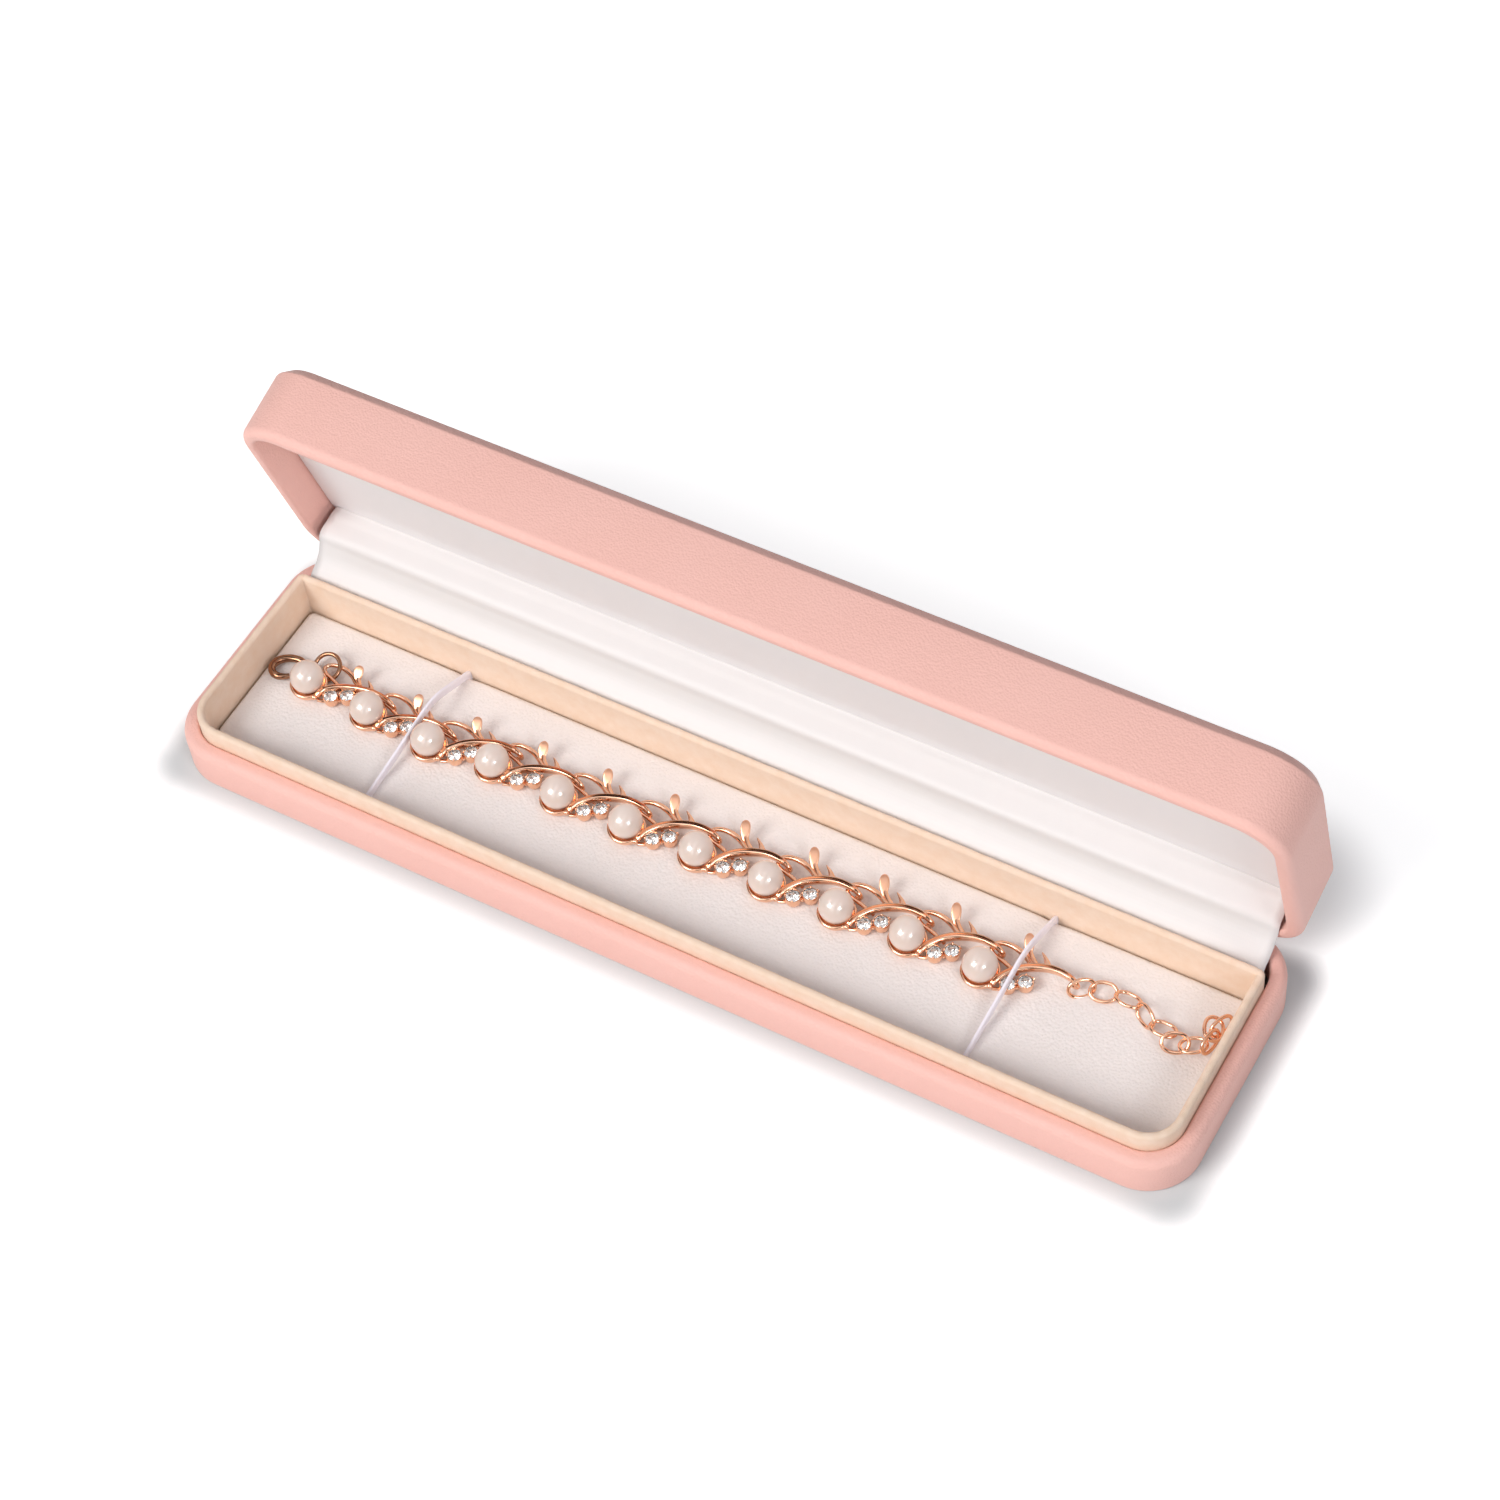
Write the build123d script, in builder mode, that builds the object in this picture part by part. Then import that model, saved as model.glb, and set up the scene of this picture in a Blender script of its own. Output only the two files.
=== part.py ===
from build123d import *
from math import cos, sin, tan, radians, degrees, atan2
import os

os.makedirs("parts", exist_ok=True)

# Bracelet box: a leatherette case, open, with a pearl bracelet strapped on its pad.
# Millimetres. X runs along the case, Y to the back, Z up; the origin is the centre of the underside.
# The lid is drawn closed over the base and then turned open about the hinge axis.

# Case: outer size and walls; its length follows from the bracelet and the room at each end
case_width = 57.2
end_room_left = 0.7
end_room_right = 0.4
corner_round = 11.0
wall = 3.4
wrap_thickness = 0.6
rim_round = 1.8
rim_inner_ease = 0.4
foot_round = 0.7
round_angles = (0, 30, 60, 90)
small_round_angles = (0, 45, 90)
plain_angles = (20, 70)
corner_steps = 5

# Base
rim_height = 9.7
base_floor = 1.1
base_turn_in = 5.6
under_flange = 7.0
sheet_clearance = 0.15

# Lid
rim_gap = 0.1
lid_wall = 3.2
lid_depth = 16.6
lid_bevel = 2.8
lid_bevel_round = 0.8
bevel_angle = 45.0
lid_top_board = 2.0
lid_turn_in = 8.4
panel_depth = 7.2
panel_lining_thickness = 0.4
panel_board_thickness = 1.2
panel_side_gap = 0.25
lid_open_angle = 75.0

# Velvet collar
collar_inset = 3.5
collar_thickness = 1.6
velvet_thickness = 0.35
velvet_round = 0.7
collar_top = 13.6
collar_back_inset = 10.4
collar_back_corner = 1.6
collar_crease_round = 0.4

# Pad
pad_gap = 0.5
pad_edge_height = 4.3
pad_crown = 0.5
pad_round = 1.2
pad_back_corner = 1.5
pad_corner_least = 0.3
pad_crown_run = 11.0
pad_crown_shares = ((0.4, 0.7), (1.0, 1.0))
pad_skin = 0.35
pad_board_thickness = 1.0

# Elastic bands: where each crosses the pad, and how far it slants
band_width = 2.0
band_thickness = 0.8
band_clearance = 0.2
band_left_x = -68.8
band_right_x = 65.8
band_left_slant = -2.2
band_right_slant = -1.7
band_peak_y = 2.0
band_peak_z = 9.25
band_peak_half = 1.3
band_peak_drop = 0.3
band_foot_rise = 4.9
band_foot_run = 1.1

# Sprung hinges
hinge_spread = 62.0
hinge_width = 20.0
hinge_axis_inset = 1.1
hinge_axis_rise = 0.3
hinge_axis_height = rim_height + hinge_axis_rise
hinge_clearance = 0.3
leaf_thickness = 0.6
base_leaf_foot = 2.6
lid_leaf_reach = 6.0
knuckle_radius = 1.15
knuckle_sides = 12
knuckle_gap = 0.25
pin_radius = 0.5
pin_clearance = 0.06
notch_depth = 1.5
middle_knuckle_share = 0.4
rivet_radius = 0.6
rivet_head_radius = 1.2
rivet_head_height = 0.4
rivet_head_taper = 35.0
rivet_sides = 6
rivet_depth = 1.3
rivet_clearance = 0.05
rivet_spread = 14.0
base_rivet_height = 5.6
lid_rivet_depth = 4.3
spring_width = 5.0
spring_thickness = 0.35
spring_bow = 1.7
spring_foot = 3.0
spring_head = 8.9
spring_gap = 0.06
spring_shares = ((0, 0), (0.2, 0.65), (0.5, 1), (0.8, 0.65), (1, 0))

# Hinge cloth: its two ends and the folds between, back from the collar and up from the underside
cloth_end_inset = 5.0
cloth_thickness = 0.3
cloth_hem = 2.4
cloth_lift = 0.06
cloth_hem_inset = 8.5
cloth_joint_inset = 7.0
cloth_foot = 4.0
cloth_free = 9.4
cloth_steps = 16
cloth_folds = ((1.2, 11.6), (3.4, 13.3), (5.4, 15.6), (6.4, 18.2), (9.0, 20.1), (12.4, 20.3))

# Bracelet: where each link's pearl lies on the pad (x, y), read from the photograph
link_places = (
    (-95.3, -2.0), (-79.8, -3.2), (-64.3, -4.3), (-49.75, -3.0), (-33.8, -3.8), (-18.0, -3.8),
    (-2.2, -3.3), (13.4, -3.3), (28.8, -3.0), (43.9, -2.5), (59.6, -2.4),
)
pearl_radius = 3.5
pearl_sides = 10
pearl_angles = (-78, -50, -18, 18, 50, 78)
cup_floor = 0.8
link_rest = 0.06

# Cast link, measured from its pearl's centre in plan, heights from the pad
cup_base_radius = 1.7
cup_rim_radius = 3.35
cup_rim_height = 2.2
cup_bore_radius = 1.5
cup_wall = 0.4
stem_points = (
    (3.95, -1.2), (4.3, 0.7), (6.1, 3.2), (9.5, 5.4), (13.4, 6.1), (16.7, 5.6),
)
stem_height = 2.9
stem_width = 1.2
stem_thickness = 1.3
wire_sides = 4
hook_radius = 0.45
hook_bottom = 0.5
bead_radius = 0.55
bead_place = (3.35, -1.05)
bead_top = 2.45
eye_points = ((7.7, 4.7), (5.2, 8.0), (2.0, 9.3), (-0.7, 8.2), (-0.9, 5.9), (0.7, 4.7))
bar_points = ((0.6, 4.7), (5.9, 3.3))
eye_height = 1.35
eye_wire = 0.75
paddle_points = ((7.3, 5.4), (5.0, 9.6))
paddle_length = 3.3
paddle_width = 1.9
paddle_lean = 108.0
paddle_set_share = 0.33
paddle_sides = 6
paddle_thickness = 0.7
leaf_height = 1.4
thorn_points = ((10.7, 5.4), (11.1, 6.9), (7.9, 9.5), (9.4, 6.9))
thorn_thickness = 0.7
crystal_places = ((6.5, 0.5), (8.75, 2.15))
rail_points = ((5.9, 3.3), (6.5, 0.7), (8.75, 2.15))
rail_height = 0.6
rail_width = 0.7
crystal_radius = 1.28
crystal_table_radius = 0.75
crystal_point_radius = 0.3
crystal_sides = 6
crystal_girdle_height = 2.35
crystal_crown = 0.5
crystal_pavilion = 1.1
seat_radius = 1.5
seat_foot_radius = 0.9
seat_clearance = 0.05

# Clasp and its jump ring
ring_radius = 2.9
ring_wire = 0.55
loop_steps = 16
ring_place = (-95.3, 5.05, 1.65)
ring_tilt = 25.0
clasp_turn = 35.0
clasp_length = 7.6
clasp_width = 5.8
clasp_wall = 1.35
clasp_thickness = 1.5
clasp_drop = 0.1
clasp_sides = 16
clasp_eye_radius = 0.85
clasp_eye_wire = 0.45
clasp_eye_steps = 10
clasp_eye_lift = 0.25
clasp_eye_reach = 5.2
clasp_neck_length = 0.95
clasp_neck_width = 1.0
trigger_reach = 3.7
trigger_thickness = 0.8
trigger_gap = 0.1
trigger_knob_radius = 0.5
trigger_knob_place = (2.1, -2.6)
trigger_pin_radius = 0.22

# Extension chain: each oval link's place, heading and roll
chain_length = 5.2
chain_width = 3.9
chain_wire = 0.5
chain_bend_steps = 4
chain_places = (
    (77.8, 3.6, 1.4, 8.0, 8.0), (81.3, 4.3, 1.9, 10.0, 82.0), (85.0, 4.9, 1.8, 4.0, -12.0),
    (88.6, 4.8, 1.9, -6.0, 76.0), (92.1, 3.9, 1.8, -18.0, -14.0), (95.5, 2.7, 1.9, -20.0, 76.0),
    (98.9, 1.5, 1.8, -18.0, -14.0), (102.2, 0.6, 1.9, -10.0, 80.0), (104.9, 3.2, 1.9, 84.0, 10.0),
    (104.7, 6.8, 2.1, 96.0, 84.0),
)

# Sizes that follow from the ones above
ring_x, ring_y, ring_z = ring_place
bracelet_left = ring_x - ring_radius - clasp_eye_reach - clasp_length / 2
bracelet_right = max(place[0] for place in chain_places) + chain_length / 2
inner_length = bracelet_right - bracelet_left + end_room_left + end_room_right
case_length = inner_length + 2 * (collar_inset + collar_thickness)
bracelet_shift = (end_room_left - end_room_right - bracelet_left - bracelet_right) / 2
half_length = case_length / 2
half_width = case_width / 2
front = -half_width
back = half_width
floor_top = wrap_thickness + base_floor
lid_rim = rim_height + rim_gap
hinge_y = back - hinge_axis_inset
hinge_axis = Axis((0, hinge_y, hinge_axis_height), (1, 0, 0))
collar_front = front + collar_inset
collar_back = back - collar_back_inset
collar_side = half_length - collar_inset
collar_corner = corner_round - collar_inset
pad_front = collar_front + collar_thickness + pad_gap
pad_back = collar_back - collar_thickness - pad_gap
pad_side = collar_side - collar_thickness - pad_gap
pad_corner = collar_corner - collar_thickness - pad_gap
pad_middle = (pad_front + pad_back) / 2
link_base = pad_edge_height + pad_crown + link_rest
pearl_height = link_base + cup_floor + pearl_radius
node_count = 0


def keep(part, name):
    """Name a piece and write it as its own node."""
    global node_count
    part.label = name
    export_step(part, "parts/" + name + ".step")
    node_count += 1


def opened(part):
    """Turn a lid piece from its closed place to where it stands open."""
    return part.rotate(hinge_axis, -lid_open_angle)


def stepped_outline(half_x, low_y, high_y, front_radius, back_radius):
    """Rectangle whose corners are rounded in straight steps, for the layers out of sight."""
    right = half_x - back_radius
    right_front = half_x - front_radius
    corners = ((right, high_y - back_radius, back_radius, 0), (-right, high_y - back_radius, back_radius, 90),
               (-right_front, low_y + front_radius, front_radius, 180),
               (right_front, low_y + front_radius, front_radius, 270))
    with BuildSketch() as outline:
        Polygon(*[(x + radius * cos(radians(start + 90 * step / corner_steps)),
                   y + radius * sin(radians(start + 90 * step / corner_steps)))
                  for x, y, radius, start in corners for step in range(corner_steps + 1)], align=None)
    return outline.sketch


def case_outline(inset, hidden=False):
    """Plan of the case moved in by inset."""
    radius = corner_round - inset
    if hidden:
        return stepped_outline(half_length - inset, front + inset, back - inset, radius, radius)
    with BuildSketch() as outline:
        RectangleRounded(case_length - 2 * inset, case_width - 2 * inset, radius)
    return outline.sketch


def case_block(inset, bottom, top, rim, bevel, foot, angles, hidden=False):
    """Rounded case block: rim rounded in steps, closed edge bevelled or eased by foot."""
    rings = []
    if bevel > 0:
        ease = lid_bevel_round * tan(radians(bevel_angle) / 2)
        rings += [(inset + bevel + ease, bottom),
                  (inset + bevel - ease * cos(radians(bevel_angle)), bottom + ease * sin(radians(bevel_angle))),
                  (inset, bottom + bevel)]
    else:
        rings += [(inset + foot, bottom), (inset, bottom + foot)]
    turns = [radians(angle) for angle in angles]
    rings += [(inset + rim * (1 - cos(turn)), top - rim * (1 - sin(turn))) for turn in turns]
    with BuildPart() as block:
        for ring_inset, height in rings:
            with BuildSketch(Plane.XY.offset(height)):
                add(case_outline(ring_inset, hidden))
        loft(ruled=True)
    return block.part


def case_half(depth, wall_now, floor, turn_in, bevel, flange):
    """Wrap and shell of one half of the case, closed face down at zero and rim up."""
    skin = wrap_thickness
    inner_bevel = bevel - skin * tan(radians(bevel_angle) / 2) if bevel > 0 else 0
    core = case_block(skin, skin, depth - skin, rim_round - skin, inner_bevel, foot_round - skin,
                      plain_angles, True)
    with BuildPart() as wrap:
        add(case_block(0, 0, depth, rim_round, bevel, foot_round, small_round_angles))
        add(core, mode=Mode.SUBTRACT)
        with BuildSketch(Plane.XY.offset(depth)):
            add(case_outline(wall_now))
        extrude(amount=-2 * skin, mode=Mode.SUBTRACT)
        with BuildSketch(Plane.XY.offset(depth - turn_in)):
            add(case_outline(wall_now - skin, True))
            add(case_outline(wall_now), mode=Mode.SUBTRACT)
        extrude(amount=turn_in - skin / 2)
        chamfer(wrap.faces().sort_by(Axis.Z)[-1].inner_wires()[0].edges(), rim_inner_ease)
        if flange > 0:
            with BuildSketch():
                add(case_outline(flange))
            extrude(amount=skin, mode=Mode.SUBTRACT)
    with BuildPart() as shell:
        add(core)
        with BuildSketch(Plane.XY.offset(skin + floor)):
            add(case_outline(wall_now, True))
        extrude(amount=depth, mode=Mode.SUBTRACT)
        with BuildSketch(Plane.XY.offset(depth - turn_in)):
            add(case_outline(wall_now - skin, True))
        extrude(amount=depth, mode=Mode.SUBTRACT)
    return wrap.part, shell.part


def hinge_cuts(part, wall_now, rim, toward):
    """Cut the two hinge notches from a rim and the rivet holes below them; toward is -1 for the base."""
    inner = back - wall_now
    rivet_z = base_rivet_height if toward < 0 else rim + lid_rivet_depth
    with BuildPart() as cut:
        add(part)
        for side in (-1, 1):
            with BuildSketch(Plane.XY.offset(rim)):
                with Locations((side * hinge_spread, back)):
                    Rectangle(hinge_width + 2 * hinge_clearance, 2 * wall_now + 2 * wrap_thickness)
            extrude(amount=toward * notch_depth, mode=Mode.SUBTRACT)
            for place in (-1, 1):
                with BuildSketch(Plane.XZ.offset(-inner)):
                    with Locations((side * hinge_spread + place * rivet_spread / 2, rivet_z)):
                        RegularPolygon(rivet_radius + rivet_clearance, rivet_sides)
                extrude(amount=-rivet_depth - 2 * rivet_clearance, mode=Mode.SUBTRACT)
    return cut.part


# Base wrap and shell
base_wrap, base_shell = case_half(rim_height, wall, base_floor, base_turn_in, 0, under_flange)
keep(hinge_cuts(base_wrap, wall, rim_height, -1), "base_leatherette_wrap")
keep(hinge_cuts(base_shell, wall, rim_height, -1), "base_shell")

# Underside sheet
with BuildPart() as sheet:
    sheet_inset = under_flange + sheet_clearance
    with BuildSketch():
        add(case_outline(sheet_inset))
    extrude(amount=wrap_thickness)
keep(sheet.part, "underside_sheet")

# Lid wrap and shell, turned over on to the base rim
lid_wrap, lid_shell = case_half(lid_depth, lid_wall, lid_top_board, lid_turn_in, lid_bevel, 0)
lid_pieces = {"lid_leatherette_wrap": lid_wrap, "lid_shell": lid_shell}
for lid_name, lid_piece in lid_pieces.items():
    closed_piece = mirror(lid_piece, about=Plane.XY).moved(Location((0, 0, lid_rim + lid_depth)))
    keep(opened(hinge_cuts(closed_piece, lid_wall, lid_rim, 1)), lid_name)

# Lid panel: foam block, board and pale lining
panel_inset = lid_wall + panel_side_gap
lining_bottom = lid_rim + panel_depth
board_bottom = lining_bottom + panel_lining_thickness
foam_bottom = board_bottom + panel_board_thickness
foam_top = lid_rim + lid_depth - wrap_thickness - lid_top_board


def panel_block(inset, bottom, height, hidden=False):
    """Flat rounded block that fits inside the lid."""
    with BuildPart() as block:
        with BuildSketch(Plane.XY.offset(bottom)):
            add(case_outline(inset, hidden))
        extrude(amount=height)
    return block.part


board_inset = panel_inset + panel_lining_thickness
with BuildPart() as lining:
    add(panel_block(panel_inset, lining_bottom, panel_lining_thickness + panel_board_thickness))
    add(panel_block(board_inset, board_bottom, panel_board_thickness, True), mode=Mode.SUBTRACT)
keep(opened(lining.part), "lid_panel_lining")
keep(opened(panel_block(board_inset, board_bottom, panel_board_thickness, True)), "lid_panel_board")
with BuildPart() as foam:
    with BuildSketch(Plane.XY.offset(foam_bottom)):
        Rectangle(case_length - 2 * board_inset, case_width - 2 * board_inset)
    extrude(amount=foam_top - foam_bottom)
    chamfer(foam.edges().filter_by(Axis.Z), corner_round - board_inset)
keep(opened(foam.part), "lid_foam")


def collar_outline(inset, hidden=False):
    """Plan of the collar: round at the front corners, nearly square at the back."""
    if hidden:
        return stepped_outline(collar_side - inset, collar_front + inset, collar_back - inset,
                               collar_corner - inset, max(collar_back_corner - inset, collar_crease_round))
    with BuildSketch() as outline:
        with Locations((0, (collar_front + collar_back) / 2)):
            Rectangle(2 * (collar_side - inset), collar_back - collar_front - 2 * inset)
        fillet(outline.vertices().group_by(Axis.Y)[0], collar_corner - inset)
        fillet(outline.vertices().group_by(Axis.Y)[-1], max(collar_back_corner - inset, collar_crease_round))
    return outline.sketch


def collar_ring(outer, inner, top, edge, hidden=False):
    """Upright ring between two insets of the collar plan, its top edges rounded by edge."""
    turns = [radians(angle) for angle in small_round_angles] if edge > 0 else [0]
    steps = [(edge * (1 - cos(turn)), top - edge * (1 - sin(turn))) for turn in turns]
    with BuildPart() as ring:
        for inset, height in [(0, floor_top)] + steps:
            with BuildSketch(Plane.XY.offset(height)):
                add(collar_outline(outer + inset, hidden))
        loft(ruled=True)
        for inset, height in [(0, floor_top)] + steps:
            with BuildSketch(Plane.XY.offset(height)):
                add(collar_outline(inner - inset, hidden))
        loft(ruled=True, mode=Mode.SUBTRACT)
    return ring.part


# Velvet collar round its board
collar_board = collar_ring(velvet_thickness, collar_thickness - velvet_thickness, collar_top - velvet_thickness,
                           0, True)
with BuildPart() as velvet:
    add(collar_ring(0, collar_thickness, collar_top, velvet_round))
    add(collar_board, mode=Mode.SUBTRACT)
keep(collar_board, "collar_board")
keep(velvet.part, "collar_velvet")


def band_at(x, slant):
    """Where an elastic band stands, turned a little about the upright."""
    return Location((x + bracelet_shift, pad_middle, 0), (0, 0, slant))


band_left = band_at(band_left_x, band_left_slant)
band_right = band_at(band_right_x, band_right_slant)


def pad_outline(inset, hidden=False):
    """Plan of the pad: round at the front corners, nearly square at the back."""
    if hidden:
        return stepped_outline(pad_side - inset, pad_front + inset, pad_back - inset,
                               max(pad_corner - inset, pad_corner_least),
                               max(pad_back_corner - inset, pad_corner_least))
    with BuildSketch() as outline:
        with Locations((0, pad_middle)):
            Rectangle(2 * (pad_side - inset), pad_back - pad_front - 2 * inset)
        fillet(outline.vertices().group_by(Axis.Y)[0], max(pad_corner - inset, pad_corner_least))
        fillet(outline.vertices().group_by(Axis.Y)[-1], max(pad_back_corner - inset, pad_corner_least))
    return outline.sketch


def pad_block(inset, bottom, angles, crown_shares, hidden=False):
    """Crowned pad block: upright sides, a rolled edge, then a shallow crown."""
    half_depth = (pad_back - pad_front) / 2
    rolls = [radians(angle) for angle in angles]
    rings = [(inset, bottom)]
    rings += [(pad_round - (pad_round - inset) * cos(roll),
               pad_edge_height - pad_round + (pad_round - inset) * sin(roll)) for roll in rolls]
    rings += [(pad_round + share * pad_crown_run, pad_edge_height - inset + rise * pad_crown)
              for share, rise in crown_shares]
    with BuildPart() as block:
        for ring_inset, height in rings:
            with BuildSketch(Plane.XY.offset(height)):
                add(pad_outline(ring_inset, hidden))
        loft(ruled=True)
        for place in (band_left, band_right):
            with BuildSketch(Plane.XY.offset(bottom)):
                for edge in (-1, 1):
                    with Locations(place * Pos(0, edge * (half_depth + band_clearance))):
                        Rectangle(band_width + 2 * band_clearance + 2 * inset,
                                  2 * (band_thickness + inset) - pad_gap)
            extrude(amount=collar_top, mode=Mode.SUBTRACT)
    return block.part


# Pad: board, foam and white leatherette cover
pad_inner = pad_block(pad_skin, floor_top, plain_angles, pad_crown_shares[-1:], True)
board_top = floor_top + pad_board_thickness
with BuildPart() as pad_cover:
    add(pad_block(0, floor_top, round_angles, pad_crown_shares))
    add(pad_inner, mode=Mode.SUBTRACT)
keep(pad_cover.part, "pad_cover")
keep(split(pad_inner, bisect_by=Plane.XY.offset(board_top), keep=Keep.BOTTOM), "pad_board")
keep(split(pad_inner, bisect_by=Plane.XY.offset(board_top), keep=Keep.TOP), "pad_foam")


def elastic_band(place):
    """Flat elastic from the slit behind the pad, over the bracelet, to the slit in front."""
    half_depth = (pad_back - pad_front) / 2
    slit = half_depth + pad_gap / 2 - band_thickness / 2 + band_clearance
    peak = band_peak_y - pad_middle
    bottom = floor_top + band_clearance / 2
    with BuildPart() as band:
        with BuildSketch(Plane.YZ):
            with BuildLine() as route:
                Polyline((slit, bottom), (slit, band_foot_rise - band_foot_run / 2),
                         (slit - band_foot_run / 3, band_foot_rise + band_foot_run / 4),
                         (slit - band_foot_run, band_foot_rise + band_foot_run / 2),
                         (peak + 2 * band_peak_half, band_peak_z - band_peak_drop),
                         (peak, band_peak_z), (peak - 2 * band_peak_half, band_peak_z - band_peak_drop),
                         (-slit + band_foot_run, band_foot_rise + band_foot_run / 2),
                         (-slit + band_foot_run / 3, band_foot_rise + band_foot_run / 4),
                         (-slit, band_foot_rise - band_foot_run / 2), (-slit, bottom))
            trace(route.line, line_width=band_thickness)
        extrude(amount=band_width / 2, both=True)
    return band.part.moved(place)


keep(elastic_band(band_left), "elastic_band_left")
keep(elastic_band(band_right), "elastic_band_right")


def hinge_leaf(plate_y, plate_end, toward, knuckles):
    """One hinge leaf centred on x = 0; toward is -1 for the base leaf and 1 for the lid leaf."""
    flange_z = hinge_axis_height + toward * knuckle_radius
    rivet_z = base_rivet_height if toward < 0 else lid_rim + lid_rivet_depth
    with BuildPart() as leaf:
        with BuildSketch(Plane.YZ):
            with Locations((plate_y + leaf_thickness / 2, (plate_end + flange_z) / 2)):
                Rectangle(leaf_thickness, abs(plate_end - flange_z))
        extrude(amount=hinge_width / 2, both=True)
        for start, end in knuckles:
            with BuildSketch(Plane.YZ.offset(start)):
                with Locations(((plate_y + hinge_y) / 2, flange_z - toward * leaf_thickness / 2)):
                    Rectangle(hinge_y - plate_y, leaf_thickness)
                with Locations((hinge_y, hinge_axis_height)):
                    RegularPolygon(knuckle_radius, knuckle_sides)
                    RegularPolygon(pin_radius + pin_clearance, knuckle_sides, mode=Mode.SUBTRACT)
            extrude(amount=end - start)
        with BuildSketch(Plane.XZ.offset(-plate_y)):
            with Locations((-rivet_spread / 2, rivet_z), (rivet_spread / 2, rivet_z)):
                RegularPolygon(rivet_radius + rivet_clearance, rivet_sides)
        extrude(amount=-2 * leaf_thickness, mode=Mode.SUBTRACT)
    return leaf.part


def rivets(face_y, z):
    """Two rivets of one leaf: shank into the wall, round head over the leaf."""
    with BuildPart() as pair:
        with BuildSketch(Plane.XZ.offset(-face_y)):
            with Locations((-rivet_spread / 2, z), (rivet_spread / 2, z)):
                RegularPolygon(rivet_radius, rivet_sides)
        extrude(amount=-leaf_thickness - rivet_depth)
        with BuildSketch(Plane.XZ.offset(-face_y)):
            with Locations((-rivet_spread / 2, z), (rivet_spread / 2, z)):
                RegularPolygon(rivet_head_radius, rivet_sides)
        extrude(amount=rivet_head_height, taper=rivet_head_taper)
    return pair.part


# Hinges, left and right
middle_half = hinge_width * middle_knuckle_share / 2
outer_knuckles = ((-hinge_width / 2, -middle_half - knuckle_gap), (middle_half + knuckle_gap, hinge_width / 2))
middle_knuckle = ((-middle_half, middle_half),)
base_plate_y = back - wall - leaf_thickness
lid_plate_y = back - lid_wall - leaf_thickness
base_leaf = hinge_leaf(base_plate_y, base_leaf_foot, -1, outer_knuckles)
lid_leaf = hinge_leaf(lid_plate_y, lid_rim + lid_leaf_reach, 1, middle_knuckle)
with BuildPart() as pin:
    with BuildSketch(Plane.YZ.offset(-hinge_width / 2)):
        with Locations((hinge_y, hinge_axis_height)):
            RegularPolygon(pin_radius, knuckle_sides)
    extrude(amount=hinge_width)
spring_y = base_plate_y - spring_gap - spring_thickness / 2
with BuildPart() as spring:
    with BuildSketch(Plane.YZ):
        with BuildLine() as bow:
            Polyline(*[(spring_y - spring_bow * bow_share, spring_foot + (spring_head - spring_foot) * rise_share)
                       for rise_share, bow_share in spring_shares])
        trace(bow.line, line_width=spring_thickness)
    extrude(amount=spring_width / 2, both=True)
base_rivets = rivets(base_plate_y, base_rivet_height)
lid_rivets = rivets(lid_plate_y, lid_rim + lid_rivet_depth)
for side, word in ((-1, "left"), (1, "right")):
    shift = Location((side * hinge_spread, 0, 0))
    keep(base_leaf.moved(shift), "hinge_base_leaf_" + word)
    keep(opened(lid_leaf.moved(shift)), "hinge_lid_leaf_" + word)
    keep(pin.part.moved(shift), "hinge_pin_" + word)
    keep(spring.part.moved(shift), "hinge_snap_spring_" + word)
pairs = [Location((side * hinge_spread, 0, 0)) for side in (-1, 1)]
keep(Compound([solid for place in pairs for solid in base_rivets.moved(place).solids()]), "hinge_base_rivets")
keep(Compound([solid for place in pairs for solid in opened(lid_rivets.moved(place)).solids()]),
     "hinge_lid_rivets")


def open_point(y, z):
    """Where a point of the closed lid stands when the lid is open."""
    turn = radians(lid_open_angle)
    dy = y - hinge_y
    dz = z - hinge_axis_height
    return hinge_y + dy * cos(turn) + dz * sin(turn), hinge_axis_height - dy * sin(turn) + dz * cos(turn)


# Hinge cloth: one strip from behind the collar to the lid panel
hem_z = lining_bottom - cloth_lift - cloth_thickness / 2
cloth_joint = open_point(back - cloth_joint_inset, hem_z)
cloth_end = open_point(back - cloth_joint_inset + cloth_hem, hem_z)
cloth_y = collar_back + cloth_lift + cloth_thickness / 2
fold_points = [(collar_back + run, rise) for run, rise in cloth_folds]
drape = Spline((cloth_y, cloth_free), *fold_points, cloth_joint,
               tangents=((0, 1), (cloth_end[0] - cloth_joint[0], cloth_end[1] - cloth_joint[1])))
drape_points = [tuple(drape @ (step / cloth_steps))[:2] for step in range(cloth_steps + 1)]
with BuildPart() as cloth:
    with BuildSketch(Plane.YZ):
        with BuildLine() as route:
            Polyline((cloth_y, cloth_foot), *drape_points)
        trace(route.line, line_width=cloth_thickness)
    extrude(amount=half_length - cloth_end_inset, both=True)
    with BuildSketch(Plane.YZ):
        with BuildLine() as hem:
            Line(cloth_joint, cloth_end)
        trace(hem.line, line_width=cloth_thickness)
    extrude(amount=half_length - cloth_hem_inset, both=True)
keep(cloth.part, "hinge_cloth")


def swept(points, height, width, thickness):
    """Flat-sided bar that follows plan points at one height."""
    with BuildPart() as bar:
        with BuildLine() as route:
            Polyline(*[(x, y, height) for x, y in points])
        with BuildSketch(Plane(origin=route.line @ 0, z_dir=route.line % 0, x_dir=(0, 0, 1))):
            Rectangle(thickness, width)
        sweep(path=route.line, transition=Transition.RIGHT)
    return bar.part


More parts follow.
